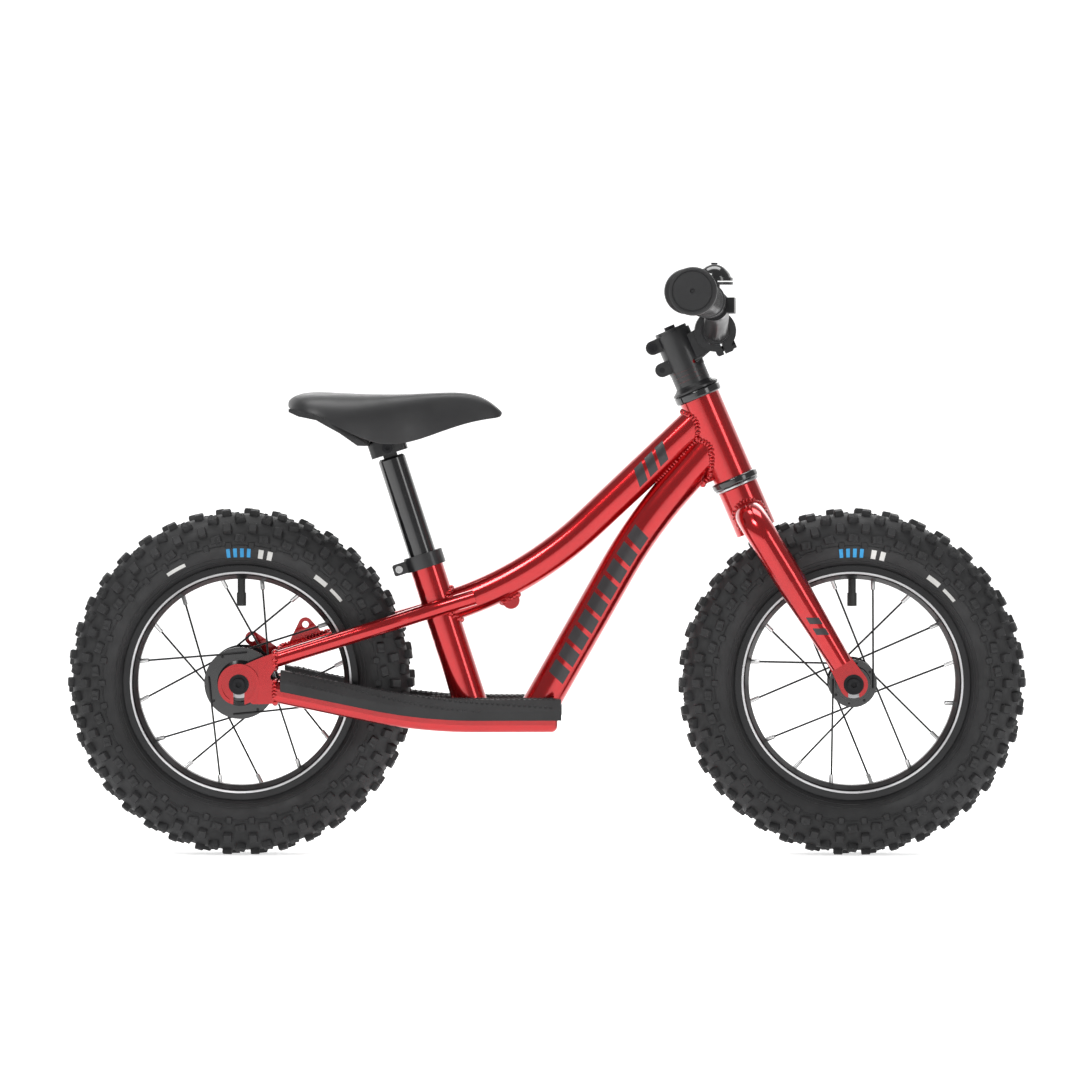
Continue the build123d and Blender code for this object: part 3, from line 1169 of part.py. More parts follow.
HUB_STEP = 1.0
HUB_WAIST = 0.8


def wheel_section(axle_x):
    """Level with the axle: its x is the radius and its y is Y."""
    return Plane(origin=(axle_x, 0, WHEEL_R), x_dir=(1, 0, 0), z_dir=(0, 0, 1))


def wheel_axis(axle_x):
    return Axis((axle_x, 0, WHEEL_R), (0, 1, 0))


def out_plane(axle_x, side):
    """The wheel's own centre plane, facing the left for side 1 and the right for side -1."""
    return Plane(origin=(axle_x, 0, WHEEL_R), z_dir=(0, side, 0))


def rod(start, end, radius, mode=Mode.ADD):
    """A straight round bar from start to end."""
    with BuildSketch(Plane(origin=start, z_dir=end - start)) as round_end:
        Circle(radius)
    extrude(round_end.sketch, amount=(end - start).length, mode=mode)


def make_tyre(axle_x):
    half = TYRE_WIDTH / 2
    bead_y = RIM_WIDTH / 2 - RIM_WALL
    crown = WHEEL_R - MID_TYRE_R
    flank_r = (RIM_LIP_R + MID_TYRE_R) / 2
    bead_in = bead_y - BEAD_WIDTH
    with BuildPart() as tyre:
        with BuildSketch(wheel_section(axle_x)):
            with BuildLine():
                Line((BEAD_SEAT_R, bead_y), (RIM_LIP_R + CLEARANCE, bead_y))
                ThreePointArc(
                    (RIM_LIP_R + CLEARANCE, bead_y),
                    (flank_r, FLANK_SHARE * half),
                    (MID_TYRE_R, half),
                )
                ThreePointArc(
                    (MID_TYRE_R, half),
                    (MID_TYRE_R + 0.72 * crown, 0.765 * half),
                    (WHEEL_R, 0),
                )
                Line((WHEEL_R, 0), (WHEEL_R - 2 * CARCASS, 0))
                ThreePointArc(
                    (WHEEL_R - 2 * CARCASS, 0),
                    (MID_TYRE_R + 0.52 * crown, 0.6 * half),
                    (MID_TYRE_R, half - CARCASS),
                )
                ThreePointArc(
                    (MID_TYRE_R, half - CARCASS),
                    (flank_r, FLANK_SHARE * half - CARCASS),
                    (RIM_LIP_R + CLEARANCE, bead_in),
                )
                Line((RIM_LIP_R + CLEARANCE, bead_in), (BEAD_SEAT_R, bead_in))
                Line((BEAD_SEAT_R, bead_in), (BEAD_SEAT_R, bead_y))
            make_face()
            mirror(about=Plane.XZ)
        revolve(axis=wheel_axis(axle_x))
    return tyre.part


def make_inner_tube(axle_x):
    """The tube inside the tyre, with its valve stem and the cap on it."""
    tube_r = TYRE_WIDTH / 2 - 2 * CARCASS - INNER_TUBE_GAP
    tube_centre_r = WHEEL_R - 2 * CARCASS - INNER_TUBE_GAP - tube_r
    cap_low = RIM_INNER_R - VALVE_LENGTH
    axle_top = Vector(axle_x, 0, WHEEL_R)
    with BuildPart() as tube:
        with BuildSketch(wheel_section(axle_x)):
            with Locations((tube_centre_r, 0)):
                Circle(tube_r)
                Circle(tube_r - INNER_TUBE_WALL, mode=Mode.SUBTRACT)
        revolve(axis=wheel_axis(axle_x))
        stem_top = axle_top + Vector(0, 0, tube_centre_r - tube_r + INNER_TUBE_WALL)
        rod(axle_top + Vector(0, 0, cap_low + VALVE_CAP_LENGTH), stem_top, VALVE_R)
        cap_end = axle_top + Vector(0, 0, cap_low)
        rod(cap_end, cap_end + Vector(0, 0, VALVE_CAP_LENGTH), VALVE_CAP_R)
    return tube.part


def lay_spokes(axle_x, pitch_r, flange_r):
    """Each spoke as its hub end, its bend over the flange's edge, its rim end and its side."""
    lines = []
    for side in (1, -1):
        for count in range(SPOKES_PER_SIDE):
            turn = 1 if count % 2 == 0 else -1
            hub_angle = (count + side / 4) * SPOKE_STEP
            hub_spot = polar(hub_angle, pitch_r)
            rim_spot = polar(hub_angle + turn * SPOKE_CROSS, RIM_INNER_R + RIM_BED)
            along = (rim_spot - hub_spot).normalized()
            lean = hub_spot.dot(along)
            edge = math.sqrt(lean ** 2 + (flange_r + SPOKE_R) ** 2 - pitch_r ** 2) - lean
            bend_spot = hub_spot + along * edge
            spoke_y = side * (FLANGE_Y + turn * SPOKE_SHIFT)
            hub_end = Vector(axle_x + hub_spot.X, spoke_y, WHEEL_R + hub_spot.Y)
            bend = Vector(axle_x + bend_spot.X, spoke_y, WHEEL_R + bend_spot.Y)
            rim_y = side * (NIPPLE_Y + turn * NIPPLE_STAGGER)
            rim_end = Vector(axle_x + rim_spot.X, rim_y, WHEEL_R + rim_spot.Y)
            lines.append((hub_end, bend, rim_end, -side * turn))
    return lines


def make_rim(axle_x, pitch_r, flange_r):
    half = RIM_WIDTH / 2
    profile = [
        (RIM_INNER_R, 0),
        (RIM_INNER_R, RIM_FLAT_HALF),
        (RIM_INNER_R + RIM_SHOULDER, half - RIM_WALL),
        (RIM_INNER_R + RIM_SHOULDER + RIM_WALL, half),
        (RIM_LIP_R, half),
        (RIM_LIP_R, half - RIM_WALL),
        (BEAD_SEAT_R, half - RIM_WALL),
        (BEAD_SEAT_R, half - RIM_SEAT_WIDTH),
        (RIM_INNER_R + RIM_BED, RIM_BED_HALF),
        (RIM_INNER_R + RIM_BED, 0),
    ]
    axle_top = Vector(axle_x, 0, WHEEL_R)
    with BuildPart() as rim:
        with BuildSketch(wheel_section(axle_x)):
            Polygon(*profile, align=None)
            mirror(about=Plane.XZ)
        revolve(axis=wheel_axis(axle_x))
        for _, bend, rim_end, _ in lay_spokes(axle_x, pitch_r, flange_r):
            along = (rim_end - bend).normalized()
            rod(
                rim_end - along * THREAD_LENGTH,
                rim_end + along * NIPPLE_HEAD,
                NIPPLE_R + ROD_GAP,
                Mode.SUBTRACT,
            )
        rod(
            axle_top + Vector(0, 0, RIM_INNER_R - RIM_BED),
            axle_top + Vector(0, 0, RIM_LIP_R),
            VALVE_R + ROD_GAP,
            Mode.SUBTRACT,
        )
    return rim.part


def make_spokes(axle_x, pitch_r, flange_r):
    """Spokes with a head behind the flange, a bend over its edge and a straight run."""
    with BuildPart() as spokes:
        for hub_end, bend, rim_end, inward in lay_spokes(axle_x, pitch_r, flange_r):
            along = (rim_end - bend).normalized()
            rod(hub_end, bend, SPOKE_R)
            rod(bend, rim_end - along * THREAD_LENGTH, SPOKE_R)
            head = hub_end + Vector(0, inward * (SPOKE_SHIFT + FLANGE_THICKNESS / 2 + ROD_GAP), 0)
            rod(hub_end, head, SPOKE_R)
            rod(head, head + Vector(0, inward * SPOKE_HEAD, 0), SPOKE_HEAD_R)
            with Locations(hub_end, bend):
                Sphere(SPOKE_R)
    return spokes.part


def make_nipples(axle_x, pitch_r, flange_r):
    with BuildPart() as nipples:
        for _, bend, rim_end, _ in lay_spokes(axle_x, pitch_r, flange_r):
            along = (rim_end - bend).normalized()
            low = rim_end - along * NIPPLE_LENGTH
            top = rim_end + along * NIPPLE_LIFT
            rod(low, top, NIPPLE_R)
            rod(top, top + along * NIPPLE_HEAD, NIPPLE_HEAD_R)
            rod(low, rim_end - along * THREAD_LENGTH, SPOKE_R, Mode.SUBTRACT)
    return nipples.part


def make_hub(axle_x, pitch_r, flange_r, body_r, hub_width):
    hub_half = hub_width / 2 - HUB_END_GAP
    pocket = hub_half - BEARING_HUB_WIDTH
    flange_out = FLANGE_Y + FLANGE_THICKNESS / 2
    flange_in = FLANGE_Y - FLANGE_THICKNESS / 2
    profile = [
        (AXLE_R + HUB_STEP, 0),
        (AXLE_R + HUB_STEP, pocket),
        (BEARING_HUB_R, pocket),
        (BEARING_HUB_R, hub_half),
        (HUB_BODY_R, hub_half),
        (body_r + HUB_STEP, flange_out),
        (flange_r, flange_out),
        (flange_r, flange_in),
        (body_r, flange_in),
        (HUB_WAIST * body_r, 0),
    ]
    with BuildPart() as hub:
        with BuildSketch(wheel_section(axle_x)):
            Polygon(*profile, align=None)
            mirror(about=Plane.XZ)
        revolve(axis=wheel_axis(axle_x))
        for hub_end, _, _, inward in lay_spokes(axle_x, pitch_r, flange_r):
            rod(
                hub_end,
                hub_end + Vector(0, inward * (SPOKE_SHIFT + FLANGE_THICKNESS), 0),
                SPOKE_R + ROD_GAP,
                Mode.SUBTRACT,
            )
    return hub.part


def make_hub_bearings(axle_x, hub_width):
    pocket = hub_width / 2 - HUB_END_GAP - BEARING_HUB_WIDTH
    with BuildPart() as bearings:
        for side in (1, -1):
            ring(
                out_plane(axle_x, side),
                pocket,
                BEARING_HUB_WIDTH,
                BEARING_HUB_R,
                AXLE_R + RUNNING_FIT,
            )
    return bearings.part


CONE_R = 8.5
CONE_WIDTH = 4.0
AXLE_SHORT = 0.5
AXLE_BOLT_SHANK = 18.0
AXLE_HEAD_R = 5.6
AXLE_HEAD = 5.0
AXLE_SOCKET_R = 2.9
WASHER_R = 9.2
WASHER = 1.5


def make_axle(axle_x, hub_width):
    """A hollow ended axle with a spacer against each dropout."""
    end = hub_width / 2 + DROPOUT_THICKNESS - AXLE_SHORT
    with BuildPart() as axle:
        for side in (1, -1):
            ring(out_plane(axle_x, side), 0, end, AXLE_R)
            ring(out_plane(axle_x, side), hub_width / 2 - CONE_WIDTH, CONE_WIDTH, CONE_R)
        for side in (1, -1):
            tip = Vector(axle_x, side * end, WHEEL_R)
            rod(tip, tip - Vector(0, side * AXLE_BOLT_SHANK, 0), AXLE_BOLT_R, Mode.SUBTRACT)
    return axle.part


def make_axle_bolts(axle_x, hub_width):
    """A washer and a socket head bolt on each end of the axle."""
    face = hub_width / 2 + DROPOUT_THICKNESS
    with BuildPart() as bolts:
        for side in (1, -1):
            ring(out_plane(axle_x, side), face, WASHER, WASHER_R, AXLE_BOLT_R)
            seat = Vector(axle_x, side * (face + WASHER), WHEEL_R)
            add(
                cap_bolt(
                    seat,
                    (0, -side, 0),
                    AXLE_BOLT_R,
                    AXLE_BOLT_SHANK,
                    AXLE_HEAD_R,
                    AXLE_HEAD,
                    AXLE_SOCKET_R,
                )
            )
    return bolts.part


def write_wheel(end, axle_x, hub_width, body_r, pitch_r, flange_r):
    pieces = {
        "tyre": make_tyre(axle_x),
        "inner_tube": make_inner_tube(axle_x),
        "rim": make_rim(axle_x, pitch_r, flange_r),
        "spokes": make_spokes(axle_x, pitch_r, flange_r),
        "nipples": make_nipples(axle_x, pitch_r, flange_r),
        "hub": make_hub(axle_x, pitch_r, flange_r, body_r, hub_width),
        "hub_bearings": make_hub_bearings(axle_x, hub_width),
        "axle": make_axle(axle_x, hub_width),
        "axle_bolts": make_axle_bolts(axle_x, hub_width),
    }
    for name, piece in pieces.items():
        piece.label = f"{end}_{name}"
        export_step(piece, f"parts/{end}_{name}.step")


write_wheel("front", FRONT_AXLE_X, FRONT_HUB_WIDTH, HUB_BODY_R, FRONT_PITCH_R, FRONT_FLANGE_R)
write_wheel("rear", REAR_AXLE_X, REAR_HUB_WIDTH, REAR_HUB_R, REAR_PITCH_R, REAR_FLANGE_R)
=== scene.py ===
import json
import math

import bmesh
import bpy
import numpy as np
from mathutils import Matrix, Vector
from mathutils.bvhtree import BVHTree


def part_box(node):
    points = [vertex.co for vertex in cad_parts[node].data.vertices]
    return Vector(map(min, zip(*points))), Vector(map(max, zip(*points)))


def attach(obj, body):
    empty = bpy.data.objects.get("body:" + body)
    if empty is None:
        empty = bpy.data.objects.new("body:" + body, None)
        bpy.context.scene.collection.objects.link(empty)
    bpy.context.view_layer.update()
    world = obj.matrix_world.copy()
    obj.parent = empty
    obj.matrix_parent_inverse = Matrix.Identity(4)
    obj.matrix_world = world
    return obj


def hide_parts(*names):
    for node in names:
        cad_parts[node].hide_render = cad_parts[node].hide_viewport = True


# Looks for a child's balance bike: metallic red frame and fork, black parts, knobbly tyres.
# Metres, in the part's own frame: +X forward, +Y the rider's left, +Z up.

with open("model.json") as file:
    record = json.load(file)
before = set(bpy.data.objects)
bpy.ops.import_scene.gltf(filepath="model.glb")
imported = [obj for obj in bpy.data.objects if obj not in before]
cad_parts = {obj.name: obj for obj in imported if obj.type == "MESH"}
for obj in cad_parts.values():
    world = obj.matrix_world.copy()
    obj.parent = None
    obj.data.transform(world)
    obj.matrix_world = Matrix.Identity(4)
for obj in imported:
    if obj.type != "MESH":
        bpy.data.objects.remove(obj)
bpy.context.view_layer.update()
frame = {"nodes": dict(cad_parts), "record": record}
nodes = frame["nodes"]


# ---------------------------------------------------------------- materials
def surface(
    name, colour, rough, metal=0.0, coat=0.0, grain=900.0, bump=0.1, mottle=0.25, flake=0.0, wear=0.3
):
    """A finish with mottled colour, fine grain, uneven roughness, scuffs and, if asked, metal flake."""
    material = bpy.data.materials.new(name)
    material.use_nodes = True
    tree = material.node_tree
    shader = tree.nodes["Principled BSDF"]
    shader.inputs["Metallic"].default_value = metal
    shader.inputs["Coat Weight"].default_value = coat
    shader.inputs["Coat Roughness"].default_value = 0.06
    where = tree.nodes.new("ShaderNodeTexCoord")

    def noise(scale, detail):
        node = tree.nodes.new("ShaderNodeTexNoise")
        node.inputs["Scale"].default_value = scale
        node.inputs["Detail"].default_value = detail
        tree.links.new(where.outputs["Object"], node.inputs["Vector"])
        return node

    def ramp(source, low, high, start=0.3, end=0.7):
        node = tree.nodes.new("ShaderNodeMapRange")
        node.inputs["From Min"].default_value = start
        node.inputs["From Max"].default_value = end
        node.inputs["To Min"].default_value = low
        node.inputs["To Max"].default_value = high
        tree.links.new(source, node.inputs["Value"])
        return node.outputs["Result"]

    def mix(fac, a, b):
        node = tree.nodes.new("ShaderNodeMix")
        node.data_type = "RGBA"
        tree.links.new(fac, node.inputs["Factor"])
        for value, socket in ((a, node.inputs["A"]), (b, node.inputs["B"])):
            if isinstance(value, bpy.types.NodeSocket):
                tree.links.new(value, socket)
            else:
                socket.default_value = (*value, 1)
        return node.outputs["Result"]

    broad = noise(18.0, 3.0)
    fine = noise(grain, 4.0)
    scuff = noise(70.0, 8.0)
    dark = [c * (1 - mottle) for c in colour]
    light = [min(1.0, c * (1 + mottle)) for c in colour]
    tone = mix(ramp(broad.outputs["Fac"], 0.0, 1.0), dark, light)
    worn = [min(1.0, 0.75 * c + 0.03 * wear) for c in colour]
    tone = mix(ramp(scuff.outputs["Fac"], 0.0, wear, 0.58, 0.74), tone, worn)
    if flake:
        cells = tree.nodes.new("ShaderNodeTexVoronoi")
        cells.inputs["Scale"].default_value = 2600.0
        tree.links.new(where.outputs["Object"], cells.inputs["Vector"])
        bright = [min(1.0, 1.5 * c + 0.012) for c in colour]
        tone = mix(ramp(cells.outputs["Color"], 0.0, flake, 0.55, 0.9), tone, bright)
    tree.links.new(tone, shader.inputs["Base Color"])
    uneven = ramp(scuff.outputs["Fac"], rough * 0.85, min(1.0, rough * 1.2))
    tree.links.new(uneven, shader.inputs["Roughness"])
    relief = tree.nodes.new("ShaderNodeBump")
    relief.inputs["Strength"].default_value = bump
    relief.inputs["Distance"].default_value = 0.0003
    tree.links.new(fine.outputs["Fac"], relief.inputs["Height"])
    tree.links.new(relief.outputs["Normal"], shader.inputs["Normal"])
    return material


RED = surface(
    "red_metallic", (0.44, 0.002, 0.005), 0.20,
    metal=0.80, coat=1.0, grain=500, bump=0.02, mottle=0.08, flake=0.5,
)
FINISH = {
    "frame_paint": RED,
    "satin_black": surface("satin_black", (0.012, 0.012, 0.013), 0.36, coat=0.25, bump=0.12),
    "gloss_black": surface("gloss_black", (0.008, 0.008, 0.009), 0.16, coat=0.8, bump=0.03),
    "rim_black": surface("rim_black", (0.014, 0.014, 0.015), 0.32, metal=0.5, coat=0.2, grain=1400),
    "spoke_black": surface("spoke_black", (0.014, 0.014, 0.015), 0.35, metal=0.4, grain=2000),
    "nipple_steel": surface("nipple_steel", (0.62, 0.62, 0.62), 0.3, metal=1.0, grain=1800),
    "bearing_steel": surface("bearing_steel", (0.5, 0.5, 0.51), 0.28, metal=1.0, grain=1800),
    "bolt_black": surface("bolt_black", (0.02, 0.02, 0.022), 0.38, metal=0.7, grain=1500),
    "bolt_silver": surface("bolt_silver", (0.6, 0.6, 0.6), 0.25, metal=1.0, grain=1600),
    "tyre": surface("tyre", (0.017, 0.017, 0.018), 0.62, grain=1300, bump=0.35, mottle=0.3, wear=0.7),
    "inner_tube": surface("inner_tube", (0.014, 0.014, 0.014), 0.5, grain=1300, bump=0.2),
    "grip_rubber": surface("grip_rubber", (0.016, 0.016, 0.017), 0.55, grain=1500, bump=0.35),
    "footrest_rubber": surface("footrest_rubber", (0.018, 0.018, 0.019), 0.55, grain=1500, bump=0.4),
    "saddle_cover": surface("saddle_cover", (0.02, 0.02, 0.021), 0.42, grain=1700, bump=0.3, mottle=0.2),
    "black_plastic": surface("black_plastic", (0.016, 0.016, 0.017), 0.42, grain=1600, bump=0.25),
}
MARK = surface("dark_mark", (0.022, 0.018, 0.02), 0.42, coat=0.2, bump=0.05)
BLUE_MARK = surface("blue_mark", (0.03, 0.30, 0.62), 0.55, bump=0.1)
WHITE_MARK = surface("white_mark", (0.62, 0.62, 0.6), 0.6, bump=0.1)
RIM_EDGE = surface("rim_edge", (0.66, 0.66, 0.67), 0.3, metal=0.9, grain=1600)

slot_of = {part["node"]: part["material_slot"] for part in frame["record"]["subparts"]}
for name, node in nodes.items():
    node.data.materials.clear()
    node.data.materials.append(FINISH[slot_of[name]])


def soften(obj, width):
    """Rounds the sharp edges and smooths the rest."""
    obj.data.shade_smooth()
    bevel = obj.modifiers.new("bevel", "BEVEL")
    bevel.width = width
    bevel.segments = 2
    bevel.limit_method = "ANGLE"
    bevel.angle_limit = math.radians(40)
    bevel.harden_normals = True


NO_BEVEL = {"front_spokes", "rear_spokes", "front_nipples", "rear_nipples", "headset_spacers"}
for name, node in nodes.items():
    if name in NO_BEVEL:
        node.data.shade_smooth()
        node.data.set_sharp_from_angle(angle=math.radians(40))
    else:
        soften(node, 0.0004)


# ---------------------------------------------------------------- helpers
def make_object(name, mesh, finish, body, *stands_for):
    """Puts a mesh in the scene on a body, in place of the nodes named."""
    mesh.materials.append(FINISH[finish] if isinstance(finish, str) else finish)
    obj = bpy.data.objects.new(name, mesh)
    bpy.context.scene.collection.objects.link(obj)
    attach(obj, body)
    if stands_for:
        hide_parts(*stands_for)
    return obj


def finish_mesh(bm, name):
    """The mesh of bm, smooth except over its sharp edges."""
    bmesh.ops.recalc_face_normals(bm, faces=bm.faces)
    mesh = bpy.data.meshes.new(name)
    bm.to_mesh(mesh)
    bm.free()
    mesh.shade_smooth()
    mesh.set_sharp_from_angle(angle=math.radians(38))
    return mesh


def tree_of(name):
    """A search tree of a node's mesh, for the nearest point and for rays."""
    data = nodes[name].data
    return BVHTree.FromPolygons([v.co for v in data.vertices], [p.vertices for p in data.polygons])


def lathe(bm, profile, place, steps):
    """Turns (radius, height) points about the local Z of place."""
    rings = []
    for radius, height in profile:
        ring = []
        for k in range(steps):
            angle = 2 * math.pi * k / steps
            local = Vector((radius * math.cos(angle), radius * math.sin(angle), height))
            ring.append(bm.verts.new(place @ local))
        rings.append(ring)
    for low, high in zip(rings, rings[1:]):
        for k in range(steps):
            bm.faces.new((low[k], low[(k + 1) % steps], high[(k + 1) % steps], high[k]))
    return rings


def block(bm, place, size, taper=0.82):
    """A bar of the given size standing on place's XY, narrower at its top, with broken edges."""
    x, y, z = size[0] / 2, size[1] / 2, size[2]
    inset = min(x, y) * 0.18
    layers = []
    for grow, level in ((1.0, 0.0), (0.96, z * 0.82), (taper, z)):
        ax, ay = x * grow, y * grow
        c = inset * grow
        outline = [
            (ax - c, -ay), (ax, c - ay), (ax, ay - c), (ax - c, ay),
            (c - ax, ay), (-ax, ay - c), (-ax, c - ay), (c - ax, -ay),
        ]
        layers.append([bm.verts.new(place @ Vector((px, py, level))) for px, py in outline])
    for low, high in zip(layers, layers[1:]):
        for k in range(8):
            bm.faces.new((low[k], low[(k + 1) % 8], high[(k + 1) % 8], high[k]))
    bm.faces.new(layers[-1])


# ---------------------------------------------------------------- knobbly tyres
KNOB_PITCHES = 38
CARCASS_DROP = 0.0038
SIDE_KNOB_RISE = 0.0016
KNOB_SINK = 0.0008
TYRE_STEPS = 192
MARK_LIFT = 0.00035
MARK_TURNS = 6
MARK_ROWS = 4
BARRED_ROWS = (0.44, 0.93)
# Each row's lift round the section, its offset in pitches, the knob's size, and its skew in degrees.
KNOB_ROWS = (
    (0.16, 0.0, (0.0085, 0.0075, 0.0058), 8),
    (0.44, 0.5, (0.0095, 0.0072, 0.0062), -14),
    (0.70, 0.0, (0.0080, 0.0088, 0.0062), 0),
    (0.93, 0.5, (0.0100, 0.0070, 0.0046), 10),
    (1.10, 0.0, (0.0055, 0.0060, 0.0026), 0),
)
# Each plain mark's first angle and span in degrees, and its height.
BLUE_MARKS = ((96, 1.6, 0.0085), (93, 1.6, 0.0085), (90, 1.6, 0.0085), (87, 1.6, 0.0085))
WHITE_MARKS = (
    (82, 2.2, 0.0085), (78, 2.2, 0.0085), (124, 9.0, 0.0032), (55, 6.5, 0.0045), (46, 7.0, 0.0030),
)


def tyre(end, centre):
    """The carcass, its moulded rings, its knobs and the plain marks on its sides."""
    low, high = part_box(end + "_tyre")
    radius = (high.z - low.z) / 2
    half = (high.y - low.y) / 2
    rim_low, rim_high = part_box(end + "_rim")
    lip_r = (rim_high.z - rim_low.z) / 2
    rim_half = (rim_high.y - rim_low.y) / 2
    mid_r = radius - half
    skin_r = radius - CARCASS_DROP
    skin_half = half - SIDE_KNOB_RISE
    outside = [(lip_r - 0.004, rim_half - 0.0022), (lip_r + 0.0008, rim_half - 0.0018)]
    for k in range(1, 9):
        angle = math.pi / 2 * k / 9
        curved = (mid_r - lip_r) * (1 - math.cos(angle)) * 0.55
        outside.append((
            lip_r + 0.0012 + curved + (mid_r - lip_r) * 0.45 * k / 9,
            rim_half - 0.0014 + (skin_half - rim_half + 0.0014) * math.sin(angle) ** 1.05,
        ))
    for k in range(12):
        angle = math.pi / 2 * k / 12
        outside.append((mid_r + (skin_r - mid_r) * math.sin(angle), skin_half * math.cos(angle) ** 0.8))
    profile = outside + [(skin_r, 0.0)] + [(r, -y) for r, y in reversed(outside)]
    radii = [r for r, _ in outside]
    halves = [y for _, y in outside]
    place = Matrix.Translation(centre) @ Matrix.Rotation(math.radians(90), 4, "X")
    bm = bmesh.new()
    lathe(bm, profile, place, TYRE_STEPS)
    # moulded rings on the sidewall
    for r, lift in ((lip_r + 0.0042, 0.0006), (lip_r + 0.0075, 0.0005), (mid_r - 0.004, 0.0007)):
        side_y = np.interp(r, radii[:10], halves[:10])
        for side in (1, -1):
            ring = [(r - 0.0006, side * (side_y - 0.0004)), (r - 0.0003, side * (side_y + lift)),
                    (r + 0.0003, side * (side_y + lift)), (r + 0.0006, side * (side_y - 0.0004))]
            lathe(bm, ring, place, TYRE_STEPS)
    # knobs: centre, shoulder and side rows, set round the carcass
    for side in (1, -1):
        for lift, offset, size, skew in KNOB_ROWS:
            for count in range(KNOB_PITCHES):
                turn = 2 * math.pi * (count + offset + (0.25 if side > 0 else 0)) / KNOB_PITCHES
                angle = lift * math.pi / 2
                if lift <= 1:
                    r = mid_r + (skin_r - mid_r) * math.cos(angle)
                    y = side * skin_half * math.sin(angle) ** 0.8
                    out = Vector((math.cos(angle), side * math.sin(angle)))
                else:
                    r = mid_r - (mid_r - lip_r) * (lift - 1) * 1.6
                    y = side * (skin_half - 0.0003)
                    out = Vector((0.12, side))
                out.normalize()
                around = Vector((-math.sin(turn), 0, math.cos(turn)))
                radial = Vector((math.cos(turn), 0, math.sin(turn)))
                normal = (radial * out.x + Vector((0, out.y, 0))).normalized()
                across = normal.cross(around).normalized()
                foot = centre + radial * (r - KNOB_SINK * out.x) + Vector((0, y - KNOB_SINK * out.y, 0))
                basis = Matrix((around, across, normal)).transposed().to_4x4()
                twist = Matrix.Rotation(math.radians(skew * side * (1 if count % 2 else -1)), 4, "Z")
                height = size[2]
                room = radius - (r + out.x * (height - KNOB_SINK))
                if room < 0:
                    height += room / max(out.x, 0.2)
                place_knob = Matrix.Translation(foot) @ basis @ twist
                block(bm, place_knob, (size[0], size[1], height))
                if lift in BARRED_ROWS:
                    bar = Matrix.Translation(normal * (height - 0.0002)) @ place_knob
                    for shift in (-0.26, 0.26):
                        step = Matrix.Translation(around * size[0] * shift)
                        block(bm, step @ bar, (size[0] * 0.3, size[1] * 0.8, 0.0008))
    mesh = finish_mesh(bm, end + "_tyre_tread")
    make_object(end + "_tyre_tread", mesh, "tyre", end + "_wheel", end + "_tyre")
    # plain marks on the sidewall where a tyre is lettered
    side_r = lip_r + (mid_r - lip_r) * 0.52
    for index, (finish, marks) in enumerate(((BLUE_MARK, BLUE_MARKS), (WHITE_MARK, WHITE_MARKS))):
        bm = bmesh.new()
        for start, span, tall in marks:
            for side in (1, -1):
                grid = []
                for i in range(MARK_TURNS + 1):
                    turn = math.radians(start - span * i / MARK_TURNS)
                    column = []
                    for j in range(MARK_ROWS + 1):
                        r = side_r + tall * (j / MARK_ROWS - 0.5)
                        y = np.interp(r, radii[:12], halves[:12]) + MARK_LIFT
                        spot = centre + Vector((r * math.cos(turn), side * y, r * math.sin(turn)))
                        column.append(bm.verts.new(spot))
                    grid.append(column)
                for a, b in zip(grid, grid[1:]):
                    for j in range(MARK_ROWS):
                        bm.faces.new((a[j], a[j + 1], b[j + 1], b[j]))
        make_object(f"{end}_tyre_marks_{index}", finish_mesh(bm, "marks"), finish, end + "_wheel")


axles = {}
for end in ("front", "rear"):
    low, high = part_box(end + "_axle")
    axles[end] = Vector(((low.x + high.x) / 2, 0, (low.z + high.z) / 2))
    tyre(end, axles[end])
    # a bright machined line round the rim's edge
    low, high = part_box(end + "_rim")
    lip_r, half = (high.z - low.z) / 2, (high.y - low.y) / 2
    place = Matrix.Translation(axles[end]) @ Matrix.Rotation(math.radians(90), 4, "X")
    bm = bmesh.new()
    for side in (1, -1):
        line = [(lip_r - 0.0078, side * (half - 0.0004)), (lip_r - 0.0074, side * (half + 0.0003)),
                (lip_r - 0.0058, side * (half + 0.0003)), (lip_r - 0.0055, side * (half - 0.0004))]
        lathe(bm, line, place, 128)
    make_object(end + "_rim_edge", finish_mesh(bm, "edge"), RIM_EDGE, end + "_wheel")


# ---------------------------------------------------------------- saddle
SADDLE_STEPS = 20


